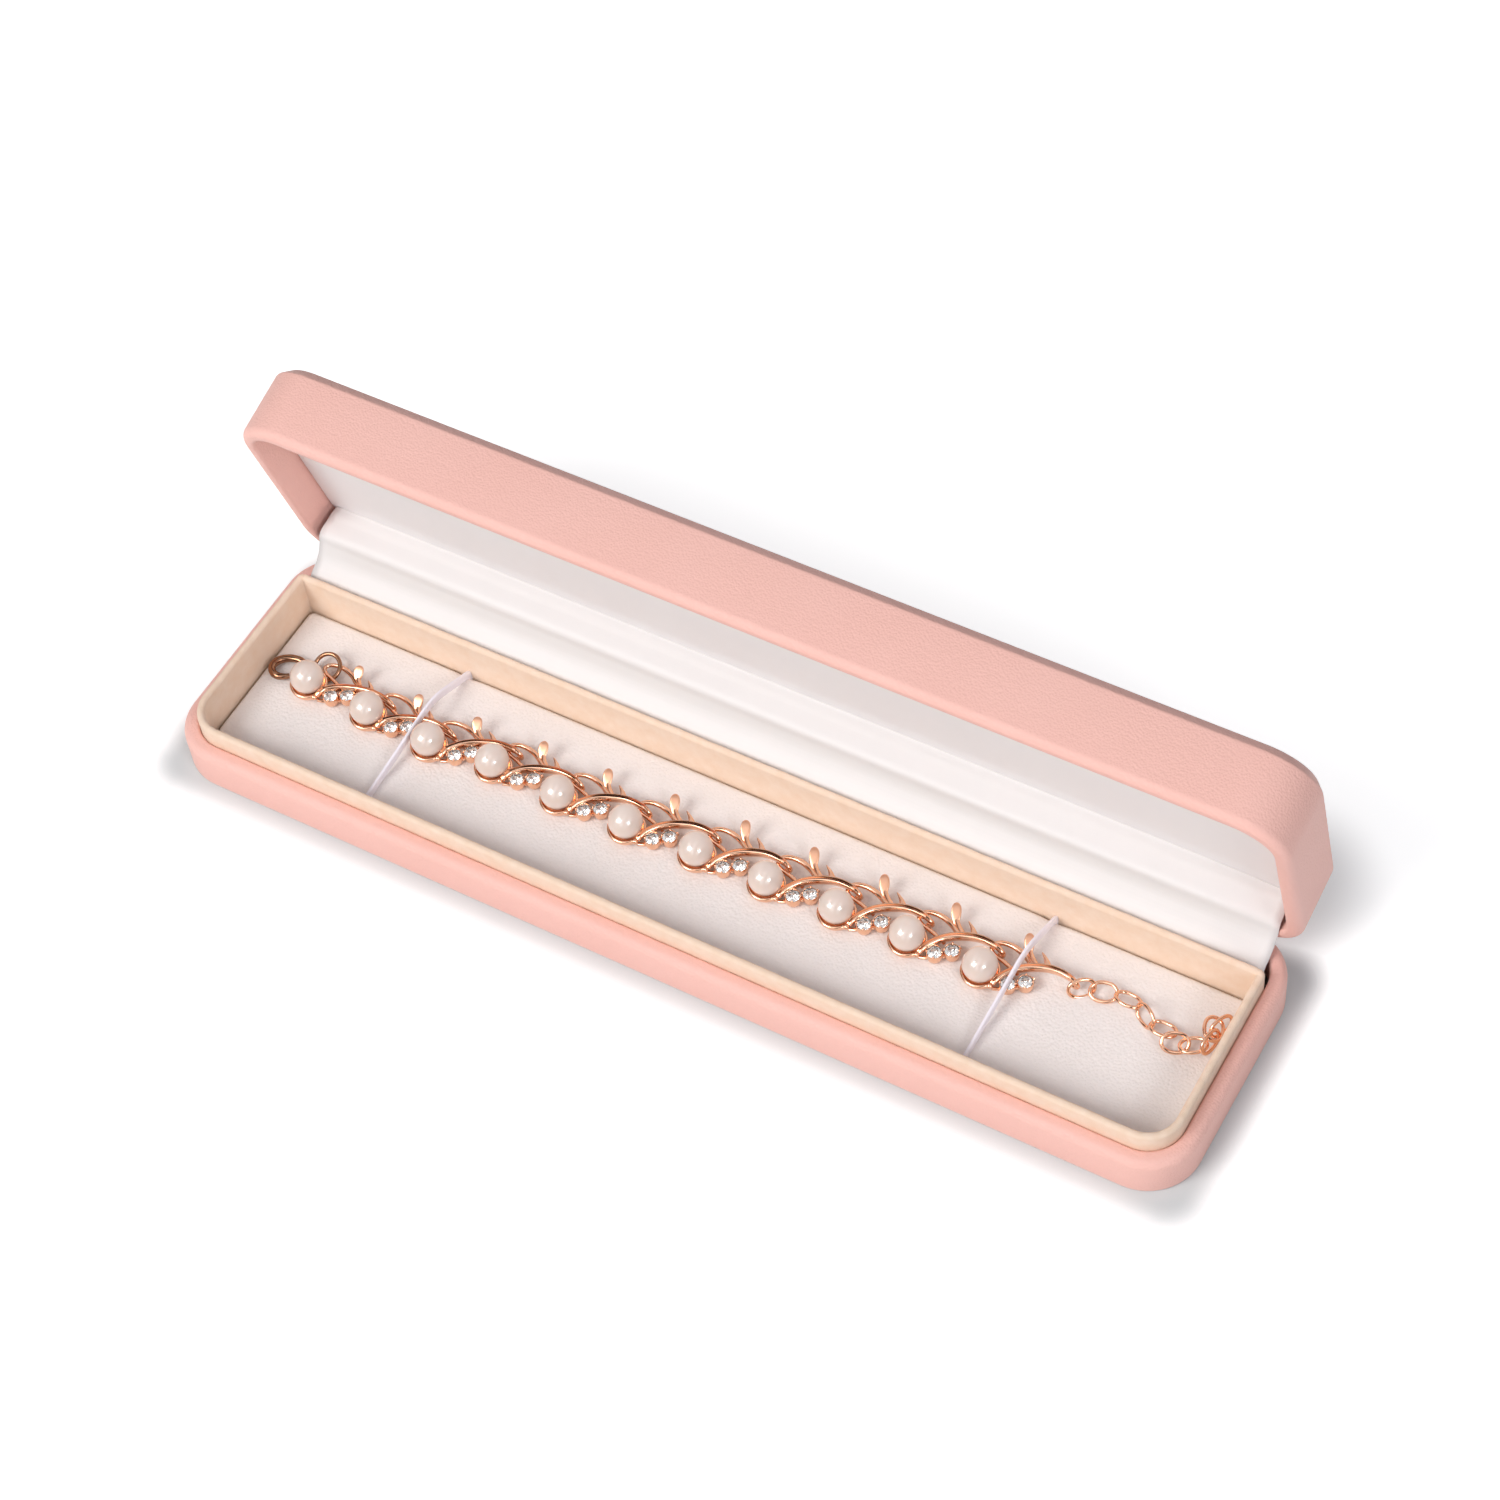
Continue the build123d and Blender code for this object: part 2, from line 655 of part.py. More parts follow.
def faceted(rings, sides, place=(0, 0)):
    """Many-sided solid through regular polygons, each ring a height and a radius."""
    turns = [radians(360 * step / sides) for step in range(sides)]
    corners = [[(place[0] + radius * cos(turn), place[1] + radius * sin(turn), z) for turn in turns]
               for z, radius in rings]
    outlines = [corners[0], corners[-1]]
    for low, high in zip(corners, corners[1:]):
        outlines += [(low[step - 1], low[step], high[step], high[step - 1]) for step in range(sides)]
    return Solid(Shell([Face(Wire.make_polygon(outline)) for outline in outlines]))


def seat_cup(place):
    """Small cup that a crystal sits in."""
    rim = link_base + crystal_girdle_height
    pocket = rim - crystal_pavilion - seat_clearance
    with BuildPart() as cup:
        add(faceted(((link_base, seat_foot_radius), (rim, seat_radius)), crystal_sides, place))
        add(faceted(((pocket, crystal_point_radius + 2 * seat_clearance),
                     (rim, crystal_radius + seat_clearance / 2)), crystal_sides, place), mode=Mode.SUBTRACT)
    return cup.part


def crystal(place):
    """Faceted round stone: pavilion below the girdle, crown and table above it."""
    girdle = link_base + crystal_girdle_height
    return faceted(((girdle - crystal_pavilion, crystal_point_radius), (girdle, crystal_radius),
                    (girdle + crystal_crown, crystal_table_radius)), crystal_sides, place)


leaf_turns = [radians(360 * step / paddle_sides) for step in range(paddle_sides)]

# One cast link: pearl cup, stem with its hook, eye, bar, paddle leaf, thorn and crystal seats
with BuildPart() as link:
    add(faceted(((link_base, cup_base_radius), (link_base + cup_rim_height, cup_rim_radius)), pearl_sides))
    add(faceted(((link_base + cup_floor - 2 * link_rest, cup_bore_radius),
                 (link_base + cup_rim_height, cup_rim_radius - cup_wall)), pearl_sides), mode=Mode.SUBTRACT)
    add(swept(stem_points, link_base + stem_height, stem_width, stem_thickness))
    hook_foot = link_base + hook_bottom
    with BuildSketch(Plane.XY.offset(hook_foot)):
        with Locations(stem_points[-1]):
            RegularPolygon(hook_radius, wire_sides)
    extrude(amount=stem_height - hook_bottom)
    with BuildSketch(Plane.XY.offset(link_base + cup_floor)):
        with Locations(bead_place):
            RegularPolygon(bead_radius, wire_sides)
    extrude(amount=bead_top - cup_floor)
    add(swept(eye_points, link_base + eye_height, eye_wire, eye_wire))
    add(swept(bar_points, link_base + eye_height, eye_wire, eye_wire))
    add(swept(paddle_points, link_base + leaf_height, eye_wire, paddle_thickness))
    lean = Location((paddle_points[-1][0], paddle_points[-1][1], link_base + leaf_height), (0, 0, paddle_lean))
    with BuildSketch(Plane(lean).offset(-paddle_thickness / 2)):
        with Locations((paddle_length * paddle_set_share, 0)):
            Polygon(*[(paddle_length / 2 * cos(turn), paddle_width / 2 * sin(turn)) for turn in leaf_turns])
    extrude(amount=paddle_thickness)
    with BuildSketch(Plane.XY.offset(link_base + stem_height - stem_thickness / 2)):
        with BuildLine():
            Polyline(*thorn_points, thorn_points[0])
        make_face()
    extrude(amount=thorn_thickness)
    joint_column = eye_points[0]
    with BuildSketch(Plane.XY.offset(link_base + eye_height - eye_wire / 2)):
        with Locations(joint_column):
            RegularPolygon(hook_radius, wire_sides)
    extrude(amount=stem_height - eye_height)
    add(swept(rail_points, link_base + rail_height, rail_width, rail_width))
    with BuildSketch(Plane.XY.offset(link_base + rail_height)):
        with Locations(rail_points[0]):
            RegularPolygon(hook_radius, wire_sides)
    extrude(amount=stem_height - rail_height)
    for seat in crystal_places:
        add(seat_cup(seat))
print("link solids", len(link.part.solids()))


def link_heading(number):
    """Way that a link points along the chain, towards the next pearl."""
    first = min(number, len(link_places) - 2)
    x, y = link_places[first]
    next_x, next_y = link_places[first + 1]
    return degrees(atan2(next_y - y, next_x - x))


link_solids = []
pearls = []
crystals = []
pearl = faceted([(pearl_height + pearl_radius * sin(radians(angle)), pearl_radius * cos(radians(angle)))
                 for angle in pearl_angles], pearl_sides)
for number, (x, y) in enumerate(link_places):
    spot = Pos(x + bracelet_shift, y, 0) * Rot(0, 0, link_heading(number))
    link_solids += link.part.moved(spot).solids()
    pearls += pearl.moved(spot).solids()
    for seat in crystal_places:
        crystals += crystal(seat).moved(spot).solids()
keep(Compound(link_solids), "bracelet_links")
keep(Compound(pearls), "bracelet_pearls")
keep(Compound(crystals), "bracelet_crystals")


# Jump ring between the first link and the clasp
def wire_loop(points, wire):
    """Wire bent round a closed path."""
    with BuildPart() as loop:
        with BuildLine() as route:
            Polyline(*points, close=True)
        with BuildSketch(Plane(origin=route.line @ 0, z_dir=route.line % 0)):
            Rectangle(wire, wire)
        sweep(path=route.line, transition=Transition.RIGHT)
    return loop.part


loop_turns = [radians(360 * step / loop_steps) for step in range(loop_steps)]
jump_ring = wire_loop([(ring_radius * cos(turn), ring_radius * sin(turn), 0) for turn in loop_turns], ring_wire)
keep(Pos(ring_x + bracelet_shift, ring_y, link_base + ring_z) * Rot(ring_tilt, 0, 0) * jump_ring, "clasp_jump_ring")

# Lobster clasp: an oval hook with an eye, and the sprung trigger that closes it
clasp_spot = (Pos(ring_x + bracelet_shift, ring_y, link_base + ring_z) * Rot(ring_tilt, 0, 0)
              * Pos(-ring_radius * cos(radians(clasp_turn)), -ring_radius * sin(radians(clasp_turn)), 0)
              * Rot(-ring_tilt, 0, 0) * Rot(0, 0, clasp_turn) * Pos(-clasp_eye_reach, 0, -clasp_drop))
pivot = (clasp_length / 2 - clasp_wall / 2, 0)


def oval_points_at(inset):
    """Points round the clasp's oval."""
    turns = [radians(360 * step / clasp_sides) for step in range(clasp_sides)]
    return [((clasp_length / 2 - inset) * cos(turn), (clasp_width / 2 - inset) * sin(turn)) for turn in turns]


def clasp_oval(inset):
    """Plan of the clasp's hook."""
    with BuildSketch() as oval:
        Polygon(*oval_points_at(inset))
        Polygon(*oval_points_at(clasp_wall - inset), mode=Mode.SUBTRACT)
    return oval.sketch


def trigger_reach_plan(reach):
    """Half disc about the pivot that the trigger sweeps."""
    with BuildSketch() as plan:
        with Locations(pivot):
            Circle(reach)
        with Locations((0, -clasp_length)):
            Rectangle(4 * clasp_length, 2 * clasp_length, mode=Mode.INTERSECT)
    return plan.sketch


eye_turns = [radians(360 * (step + 1 / 2) / clasp_eye_steps) for step in range(clasp_eye_steps)]
with BuildPart() as clasp:
    with BuildSketch(Plane.XY.offset(-clasp_thickness / 2)):
        add(clasp_oval(0))
        add(trigger_reach_plan(trigger_reach + trigger_gap), mode=Mode.SUBTRACT)
        with Locations(pivot):
            Circle(clasp_wall / 2)
    extrude(amount=clasp_thickness)
    with BuildSketch(Plane.XY.offset(-clasp_thickness / 2)):
        with Locations((clasp_eye_reach - clasp_eye_radius - (clasp_neck_length - clasp_eye_wire) / 2, 0)):
            Rectangle(clasp_neck_length, clasp_neck_width)
    extrude(amount=clasp_thickness)
    add(wire_loop([(clasp_eye_reach + clasp_eye_radius * cos(turn), 0, clasp_eye_lift + clasp_eye_radius * sin(turn))
                   for turn in eye_turns], clasp_eye_wire))
    slot = trigger_thickness / 2 + trigger_gap
    with BuildSketch(Plane.XY.offset(-slot)):
        with Locations(pivot):
            Circle(clasp_wall / 2 + trigger_gap)
    extrude(amount=2 * slot, mode=Mode.SUBTRACT)
    with BuildSketch(Plane.XY.offset(-slot)):
        with Locations(pivot):
            Circle(trigger_pin_radius)
    extrude(amount=2 * slot)
keep(clasp_spot * clasp.part, "clasp_body")

with BuildPart() as trigger:
    with BuildSketch(Plane.XY.offset(-trigger_thickness / 2)):
        add(clasp_oval(trigger_gap))
        add(trigger_reach_plan(trigger_reach), mode=Mode.INTERSECT)
        with Locations(pivot):
            Circle(clasp_wall / 2 - trigger_gap)
        with Locations(trigger_knob_place):
            Circle(trigger_knob_radius)
        with Locations(pivot):
            Circle(trigger_pin_radius + pin_clearance, mode=Mode.SUBTRACT)
    extrude(amount=trigger_thickness)
keep(clasp_spot * trigger.part, "clasp_trigger")

# Extension chain
straight = (chain_length - chain_width) / 2
bend = (chain_width - chain_wire) / 2
bend_turns = [radians(90 - 180 * step / chain_bend_steps) for step in range(chain_bend_steps + 1)]
oval_points = [(straight + bend * cos(turn), bend * sin(turn), 0) for turn in bend_turns]
oval_points += [(-straight - bend * cos(turn), -bend * sin(turn), 0) for turn in bend_turns]
oval_link = wire_loop(oval_points, chain_wire)
chain = []
for x, y, rise, heading, roll in chain_places:
    chain += (Pos(x + bracelet_shift, y, link_base + rise) * Rot(0, 0, heading) * Rot(roll, 0, 0) * oval_link).solids()
keep(Compound(chain), "extension_chain")

print("nodes", node_count)
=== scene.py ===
import bmesh
import bpy
import numpy as np
from mathutils import Matrix


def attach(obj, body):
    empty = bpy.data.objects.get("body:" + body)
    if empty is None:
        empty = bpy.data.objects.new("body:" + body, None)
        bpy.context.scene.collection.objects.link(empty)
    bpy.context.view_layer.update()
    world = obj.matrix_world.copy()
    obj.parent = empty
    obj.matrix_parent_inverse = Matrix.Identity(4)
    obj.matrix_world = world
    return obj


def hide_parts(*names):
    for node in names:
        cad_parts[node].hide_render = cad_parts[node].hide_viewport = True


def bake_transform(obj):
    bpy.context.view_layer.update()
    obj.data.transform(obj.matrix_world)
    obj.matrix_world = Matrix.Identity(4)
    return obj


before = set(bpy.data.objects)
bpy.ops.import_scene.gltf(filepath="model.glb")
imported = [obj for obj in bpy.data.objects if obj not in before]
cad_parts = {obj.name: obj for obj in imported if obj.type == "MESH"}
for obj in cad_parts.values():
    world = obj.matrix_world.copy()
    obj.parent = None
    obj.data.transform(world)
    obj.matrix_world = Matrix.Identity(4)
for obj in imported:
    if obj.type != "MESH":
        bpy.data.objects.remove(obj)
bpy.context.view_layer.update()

bl_info = {
    "name": "Open Bracelet Gift Case",
    "version": (1, 0, 0),
    "blender": (4, 5, 0),
    "location": "3D View > Sidebar > Bracelet Case",
    "description": "Builds the covered case, its fittings and the pearl bracelet on the shared frame",
    "category": "Object",
}

# All lengths below are in millimetres and are turned to metres when a mesh is written
MM = 0.001

# Case plan and heights
HALF_LENGTH = 113.0
HALF_WIDTH = 28.6
CORNER = 11.0
SKIN = 0.6
LEAST_CORNER = 0.12
BASE_WALL = 3.4
BASE_RIM = 9.7
LID_WALL = 3.2
LID_RIM = 9.8
LID_DEPTH = 16.6
HINGE_Y = 27.5
HINGE_Z = 10.0
OPEN_ANGLE = 75.0
NOTCH_CENTRES = (-62.0, 62.0)
NOTCH_HALF = 10.3
NOTCH_DEPTH = 1.5
NOTCH_EASE = 0.06
NOTCH_REACH = 4.0
FLOOR_TOP = 1.7

# The wraps: their roundings, how far each is turned in, the lid's bevel and two insets of its top
FOOT_ROUND = 0.7
FOOT_TURN_IN = 7.0
EDGE_ROUND = 0.8
FOLD_ROUND = 0.3
BASE_TURN_IN = 5.6
LID_TURN_IN = 8.4
BEVEL = 2.0
BEVEL_ROUND = 0.9
INNER_BEVEL = 2.7
TOP_INSETS = (6.0, 10.6)

# The lid panel: insets of its outer and inner edges, how far in from the rim it lies, its lip and thickness
PANEL_INSET = 3.45
PANEL_INNER_INSETS = (3.8, 3.72)
PANEL_EDGE_ROUND = 0.35
PANEL_REACH = 9.0
PANEL_DEPTH = 7.2
PANEL_LIP = 1.5
PANEL_SKIN = 0.28

# Plans: half length, front, back, front corner, back corner
CASE_PLAN = (HALF_LENGTH, -HALF_WIDTH, HALF_WIDTH, CORNER, CORNER)
COLLAR_PLAN = (109.5, -25.1, 18.2, 7.5, 1.6)
PAD_PLAN = (107.4, -23.0, 16.1, 5.4, 1.5)

# Collar and pad: the velvet's edge and the band its pile stands on, then the pad's edge, crown and band dents
COLLAR_WALL = 1.6
COLLAR_TOP = 13.6
COLLAR_ROUND = 0.75
COLLAR_STATIONS = (5.0, 9.0)
VELVET = 0.35
PILE_BAND = 1.6
PAD_MIDDLE = -3.45
PAD_EDGE = 4.3
PAD_ROLL = 1.2
CROWN_RUN = 11.0
PAD_BORDER = 8
DENT_DEPTH = 0.5
DENT_WIDTH = 2.2
DENT_REACH = 1.4

# Elastic bands: where each crosses the pad's middle line, and its slant in degrees
BANDS = ((-68.8, -2.2), (65.8, -1.7))
BAND_HALF_THICK = 0.38
BAND_SIDES = 20

# Hinge cloth: half its length, and its thickness
CLOTH_HALF = 108.0
CLOTH_THICKNESS = 0.25

# Bracelet
LINK_BASE = 4.86
PEARL_RADIUS = 3.5
PEARL_RISE = 4.3
LINK_PLACES = np.array([
    (-95.3, -2.0), (-79.8, -3.2), (-64.3, -4.3), (-49.75, -3.0), (-33.8, -3.8), (-18.0, -3.8),
    (-2.2, -3.3), (13.4, -3.2), (28.8, -2.8), (43.9, -2.2), (59.6, -2.2)])
CRYSTAL_PLACES = ((6.05, -0.35), (8.85, 1.5))
CRYSTAL_GIRDLE = 2.35
# Jump ring and clasp: centres, turns in degrees, and the reach of the hook's oval to its pin, back and side
RING_CENTRE = (-94.49, 3.62, 6.38)
RING_TILT = 25.0
RING_RADIUS = 2.8
RING_WIRE = 0.45
CLASP_CENTRE = (-101.935, 0.560, 5.707)
CLASP_TURN = 35.0
CLASP_PIN = 3.125
CLASP_BACK = 3.8
CLASP_RISE = 2.3
# Extension chain, one row per link: x, y and rise above the links' base, heading and roll in degrees
CHAIN_PLACES = (
    (78.3, 3.3, 1.3, 40.0, 62.0), (82.3, 4.5, 1.2, 18.0, 22.0), (87.3, 4.9, 1.5, -6.0, -22.0),
    (91.7, 3.1, 1.5, -32.0, 66.0), (95.9, 2.1, 1.3, 0.0, -18.0), (99.2, 0.2, 1.6, 22.0, 38.0),
    (102.6, 0.9, 2.2, 34.0, -12.0), (105.2, 2.6, 2.9, 80.0, 72.0), (104.7, 5.2, 3.3, 108.0, 20.0),
    (105.6, 6.6, 2.9, 66.0, 74.0))

# Stage: half the floor's size in millimetres, and then in metres the shift that brings the middle of the
# lid's shadow to nought, and the corner of the case's footprint with the painted contact shadow's tone
# factor beside it. Next, how much brighter than lit the floor is seen in the open, in the shadow and
# beside the case, and last the camera's place and axes in metres
FLOOR_REACH = 4000.0
SHADOW_SHIFT = (-0.1, -0.046, 0.0)
FOOTPRINT_CORNER = (0.110, 0.0256, 0.0)
# Painted shade: beside the case the floor's tone is multiplied by this, a painted contact shadow
PAINTED_CONTACT_SHADE = (0.75, 0.8, 0.81, 1.0)
OPEN_GLOW = 0.62
SHADOW_GLOW = 0.20
CONTACT_GLOW = 0.04
CAMERA_PLACE = (0.23656, -0.31898, 0.57106)
CAMERA_RIGHT = (0.86793, 0.49114, -0.07402)
CAMERA_UP = (-0.35806, 0.72197, 0.59207)
CAMERA_BACK = (0.34424, -0.48737, 0.80248)
CAMERA_LENS = 84.343


# Shapes: each is (points in mm, list of face arrays), a face array being one row of corner numbers per face

def join(*shapes):
    """Several shapes as one: their points stacked and their corner numbers moved up by the points before."""
    points, faces, count = [], [], 0
    for own_points, own_faces in shapes:
        points.append(own_points)
        faces += [rows + count for rows in own_faces]
        count += len(own_points)
    return np.concatenate(points), faces


def outward(shape):
    """A closed shape with its faces outwards: every face row is reversed where the fans' signed volume is
    below zero."""
    points, faces = shape
    volume = 0.0
    for rows in faces:
        first = points[rows[:, :1]]
        fans = np.cross(points[rows[:, 1:-1]] - first, points[rows[:, 2:]] - first)
        volume += float(np.sum(first * fans))
    return (points, [rows[:, ::-1] for rows in faces]) if volume < 0 else shape


def grid_faces(rows, columns, close_rows=False, close_columns=False):
    """Four-cornered faces between neighbours of a grid of rows by columns, closed round where asked."""
    down = np.arange(rows if close_rows else rows - 1)[:, None]
    along = np.arange(columns if close_columns else columns - 1)[None, :]
    below, beside = (down + 1) % rows, (along + 1) % columns
    corners = (down * columns + along, below * columns + along,
               below * columns + beside, down * columns + beside)
    size = (down.shape[0], along.shape[1])
    return np.stack([np.broadcast_to(corner, size) for corner in corners], -1).reshape(-1, 4)


def moved(shape, heading, place, roll=0.0):
    """Shape rolled about X, then turned about Z, both in degrees, then put at place."""
    turn, tilt = np.radians(heading), np.radians(roll)
    about_x = np.array([[1, 0, 0], [0, np.cos(tilt), -np.sin(tilt)], [0, np.sin(tilt), np.cos(tilt)]])
    about_z = np.array([[np.cos(turn), -np.sin(turn), 0], [np.sin(turn), np.cos(turn), 0], [0, 0, 1]])
    return shape[0] @ (about_z @ about_x).T + np.array(place), shape[1]


def opened(points):
    """Closed lid points turned back by the open angle about the hinge line."""
    turn = np.radians(OPEN_ANGLE)
    back, rise = points[..., 1] - HINGE_Y, points[..., 2] - HINGE_Z
    return np.stack([points[..., 0], HINGE_Y + back * np.cos(turn) + rise * np.sin(turn),
                     HINGE_Z - back * np.sin(turn) + rise * np.cos(turn)], -1)


def plan(outline, inset, front, side, back, corner_steps=14):
    """Round-cornered rectangle moved in by each inset: corner centre plus radius times the outward direction,
    with straights shared out between corner ends by the fractions given. Returns stations by insets by
    (x, y)."""
    half, low, high, front_round, back_round = outline
    inset = np.atleast_1d(np.asarray(inset, float))
    front_r = np.maximum(front_round - inset, LEAST_CORNER)
    back_r = np.maximum(back_round - inset, LEAST_CORNER)

    def corner(radius, x_side, y_line, y_side, start):
        turns = np.radians(start + 90 * np.linspace(0, 1, corner_steps + 1))[:, None]
        x = x_side * (half - inset - radius) + radius * np.cos(turns)
        y = y_line - y_side * (inset + radius) + radius * np.sin(turns)
        return np.stack([x, y], -1)

    corners = (corner(front_r, -1, low, -1, 180), corner(front_r, 1, low, -1, 270),
               corner(back_r, 1, high, 1, 0), corner(back_r, -1, high, 1, 90))
    pieces = []
    for bend, after, shares in zip(corners, corners[1:] + corners[:1], (front, side, back, side)):
        shares = np.asarray(shares)[:, None, None]
        pieces += [bend, bend[-1:] * (1 - shares) + after[:1] * shares]
    return np.concatenate(pieces)


def fair(count):
    """Even shares along a straight, without its ends."""
    return np.linspace(0, 1, count + 1)[1:-1]


def notch_shares(reach):
    """Shares along the back straight, right to left, with a close pair of stations at each notch side."""
    sides = np.array([centre + side * (NOTCH_HALF + ease) for centre in NOTCH_CENTRES for side in (-1, 1)
                      for ease in (-NOTCH_EASE, NOTCH_EASE)])
    inner = np.array([centre + side * NOTCH_HALF * 0.5 for centre in NOTCH_CENTRES for side in (-1, 0, 1)])
    even = np.linspace(-reach, reach, 26)[1:-1]
    even = even[np.all(np.abs(even[:, None] - np.array(NOTCH_CENTRES)) > NOTCH_HALF + 2, axis=1)]
    return (reach - np.sort(np.concatenate([sides, inner, even]))[::-1]) / (2 * reach)


def arc(centre_inset, centre_z, radius, start, end, steps):
    """Arc in a wall profile: centre plus radius times cosine along the inset and sine along the height."""
    turns = np.radians(np.linspace(start, end, steps + 1))
    return [(centre_inset + radius * np.cos(turn), centre_z + radius * np.sin(turn)) for turn in turns]


def smooth_path(points, count):
    """Smooth line through the points: each span is the cubic whose end slopes are half the way between
    neighbours."""
    points = np.asarray(points, float)
    knots = np.concatenate([2 * points[:1] - points[1:2], points, 2 * points[-1:] - points[-2:-1]])
    spans = len(points) - 1
    at = np.linspace(0, spans, count)
    span = np.minimum(at.astype(int), spans - 1)
    share = (at - span)[:, None]
    before, start, end, after = (knots[span + step] for step in range(4))
    square, cube = 2 * before - 5 * start + 4 * end - after, 3 * start - before - 3 * end + after
    return 0.5 * (2 * start + (end - before) * share + square * share ** 2 + cube * share ** 3)


def oval_section(half_wide, half_high, count, squareness=1.0):
    """Cross-section: sign of cosine and sine times their size to the power of squareness."""
    turns = np.linspace(0, 2 * np.pi, count, endpoint=False)
    cosine, sine = np.cos(turns), np.sin(turns)
    return np.stack([half_wide * np.sign(cosine) * np.abs(cosine) ** squareness,
                     half_high * np.sign(sine) * np.abs(sine) ** squareness], -1)


def carried(path, section, scale=1.0, up=(0, 0, 1), closed=False):
    """Section carried along a path: each point is the path point plus the section's width along the side
    direction and its height along the up direction squared to the path, both times the scale there."""
    path = np.asarray(path, float)
    if closed:
        along = np.roll(path, -1, axis=0) - np.roll(path, 1, axis=0)
    else:
        along = np.gradient(path, axis=0)
    along /= np.linalg.norm(along, axis=1, keepdims=True)
    side = np.cross(along, np.asarray(up, float))
    side /= np.linalg.norm(side, axis=1, keepdims=True)
    rise = np.cross(side, along)
    scale = np.broadcast_to(np.asarray(scale, float), (len(path),))[:, None, None]
    spread = section[None, :, :1] * side[:, None] + section[None, :, 1:] * rise[:, None]
    points = path[:, None] + scale * spread
    count = len(section)
    faces = [grid_faces(len(path), count, closed, True)]
    if not closed:
        faces += [np.arange(count)[None, :], (len(path) - 1) * count + np.arange(count)[None, ::-1]]
    return outward((points.reshape(-1, 3), faces))


def turned(profile, count, place=(0, 0, 0)):
    """Profile of (radius, height) turned once round a standing axis, each end closed by a flat face."""
    profile = np.asarray(profile, float)
    turns = np.linspace(0, 2 * np.pi, count, endpoint=False)
    points = np.stack([profile[:, :1] * np.cos(turns), profile[:, :1] * np.sin(turns),
                       np.broadcast_to(profile[:, 1:], (len(profile), count))], -1).reshape(-1, 3)
    faces = [grid_faces(len(profile), count, False, True), np.arange(count)[None, :],
             (len(profile) - 1) * count + np.arange(count)[None, ::-1]]
    return outward((points + np.array(place), faces))


def ball(radius, place, across, down):
    """Ball: the profile is radius times the cosine and sine of the latitude."""
    latitude = np.radians(np.linspace(-87.5, 87.5, down + 1))
    return turned(np.stack([radius * np.cos(latitude), radius * np.sin(latitude)], -1), across, place)


def leaf_shape(half_long, half_wide, half_thick, heading, tilt, place):
    """Small leaf: a ball flattened to three half sizes, its width growing evenly towards the tip, hollowed by
    the square of the distance from its midrib, tipped and turned."""
    points, faces = ball(1.0, (0, 0, 0), 24, 14)
    points = points * np.array([half_long, half_wide, half_thick])
    points[:, 1] *= 0.8 + 0.3 * points[:, 0] / half_long
    points[:, 2] += 0.25 * half_wide * (points[:, 1] / half_wide) ** 2
    lean = np.radians(tilt)
    about_y = np.array([[np.cos(lean), 0, np.sin(lean)], [0, 1, 0], [-np.sin(lean), 0, np.cos(lean)]])
    points = points @ about_y
    return moved(outward((points, faces)), heading, place)


def write_mesh(name, shape, finishes, body, node=None, sharp=38.0, finish_rows=None, uv=None, closed=True):
    """Object at the origin from a shape in millimetres, with its finishes, riding on a body of the frame."""
    points, faces = outward(shape) if closed and finish_rows is None else shape
    mesh = bpy.data.meshes.new(name)
    mesh.vertices.add(len(points))
    mesh.vertices.foreach_set("co", (points * MM).astype(np.float32).ravel())
    totals = np.concatenate([np.full(len(rows), rows.shape[1]) for rows in faces])
    corners = np.concatenate([rows.ravel() for rows in faces])
    mesh.loops.add(len(corners))
    mesh.loops.foreach_set("vertex_index", corners.astype(np.int32))
    mesh.polygons.add(len(totals))
    mesh.polygons.foreach_set("loop_start", np.concatenate([[0], np.cumsum(totals)[:-1]]).astype(np.int32))
    mesh.polygons.foreach_set("loop_total", totals.astype(np.int32))
    for finish in finishes:
        mesh.materials.append(finish)
    if finish_rows is not None:
        mesh.polygons.foreach_set("material_index", finish_rows.astype(np.int32))
    if uv is not None:
        layer = mesh.uv_layers.new(name="UVMap")
        layer.data.foreach_set("uv", uv[corners].astype(np.float32).ravel())
    mesh.update(calc_edges=True)
    mesh.validate()
    mesh.shade_smooth()
    mesh.set_sharp_from_angle(angle=np.radians(sharp))
    piece = bpy.data.objects.new(name, mesh)
    bpy.context.scene.collection.objects.link(piece)
    if body is not None:
        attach(piece, body)
    if node is not None:
        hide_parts(*([node] if isinstance(node, str) else node))
    return piece


# Finishes

def colour(text):
    """sRGB hex as linear light: below 0.04045 a twelfth part, above it the 2.4 power curve."""
    parts = [int(text[at:at + 2], 16) / 255 for at in (1, 3, 5)]
    return tuple(part / 12.92 if part <= 0.04045 else ((part + 0.055) / 1.055) ** 2.4
                 for part in parts) + (1.0,)


def add_node(tree, kind, settings=None, inputs=None):
    """Adds one node and sets its settings. Each input, by name or number, gets a value or a link to the
    output given."""
    node = tree.nodes.new(kind)
    for key, value in (settings or {}).items():
        setattr(node, key, value)
    for key, value in (inputs or {}).items():
        if isinstance(value, bpy.types.NodeSocket):
            tree.links.new(value, node.inputs[key])
        else:
            node.inputs[key].default_value = value
    return node


def new_finish(name):
    """A material with an empty node tree, and in it an output and the coordinates."""
    finish = bpy.data.materials.new(name)
    finish.use_nodes = True
    tree = finish.node_tree
    tree.nodes.clear()
    output = add_node(tree, "ShaderNodeOutputMaterial")
    place = add_node(tree, "ShaderNodeTexCoord")
    return finish, tree, output, place


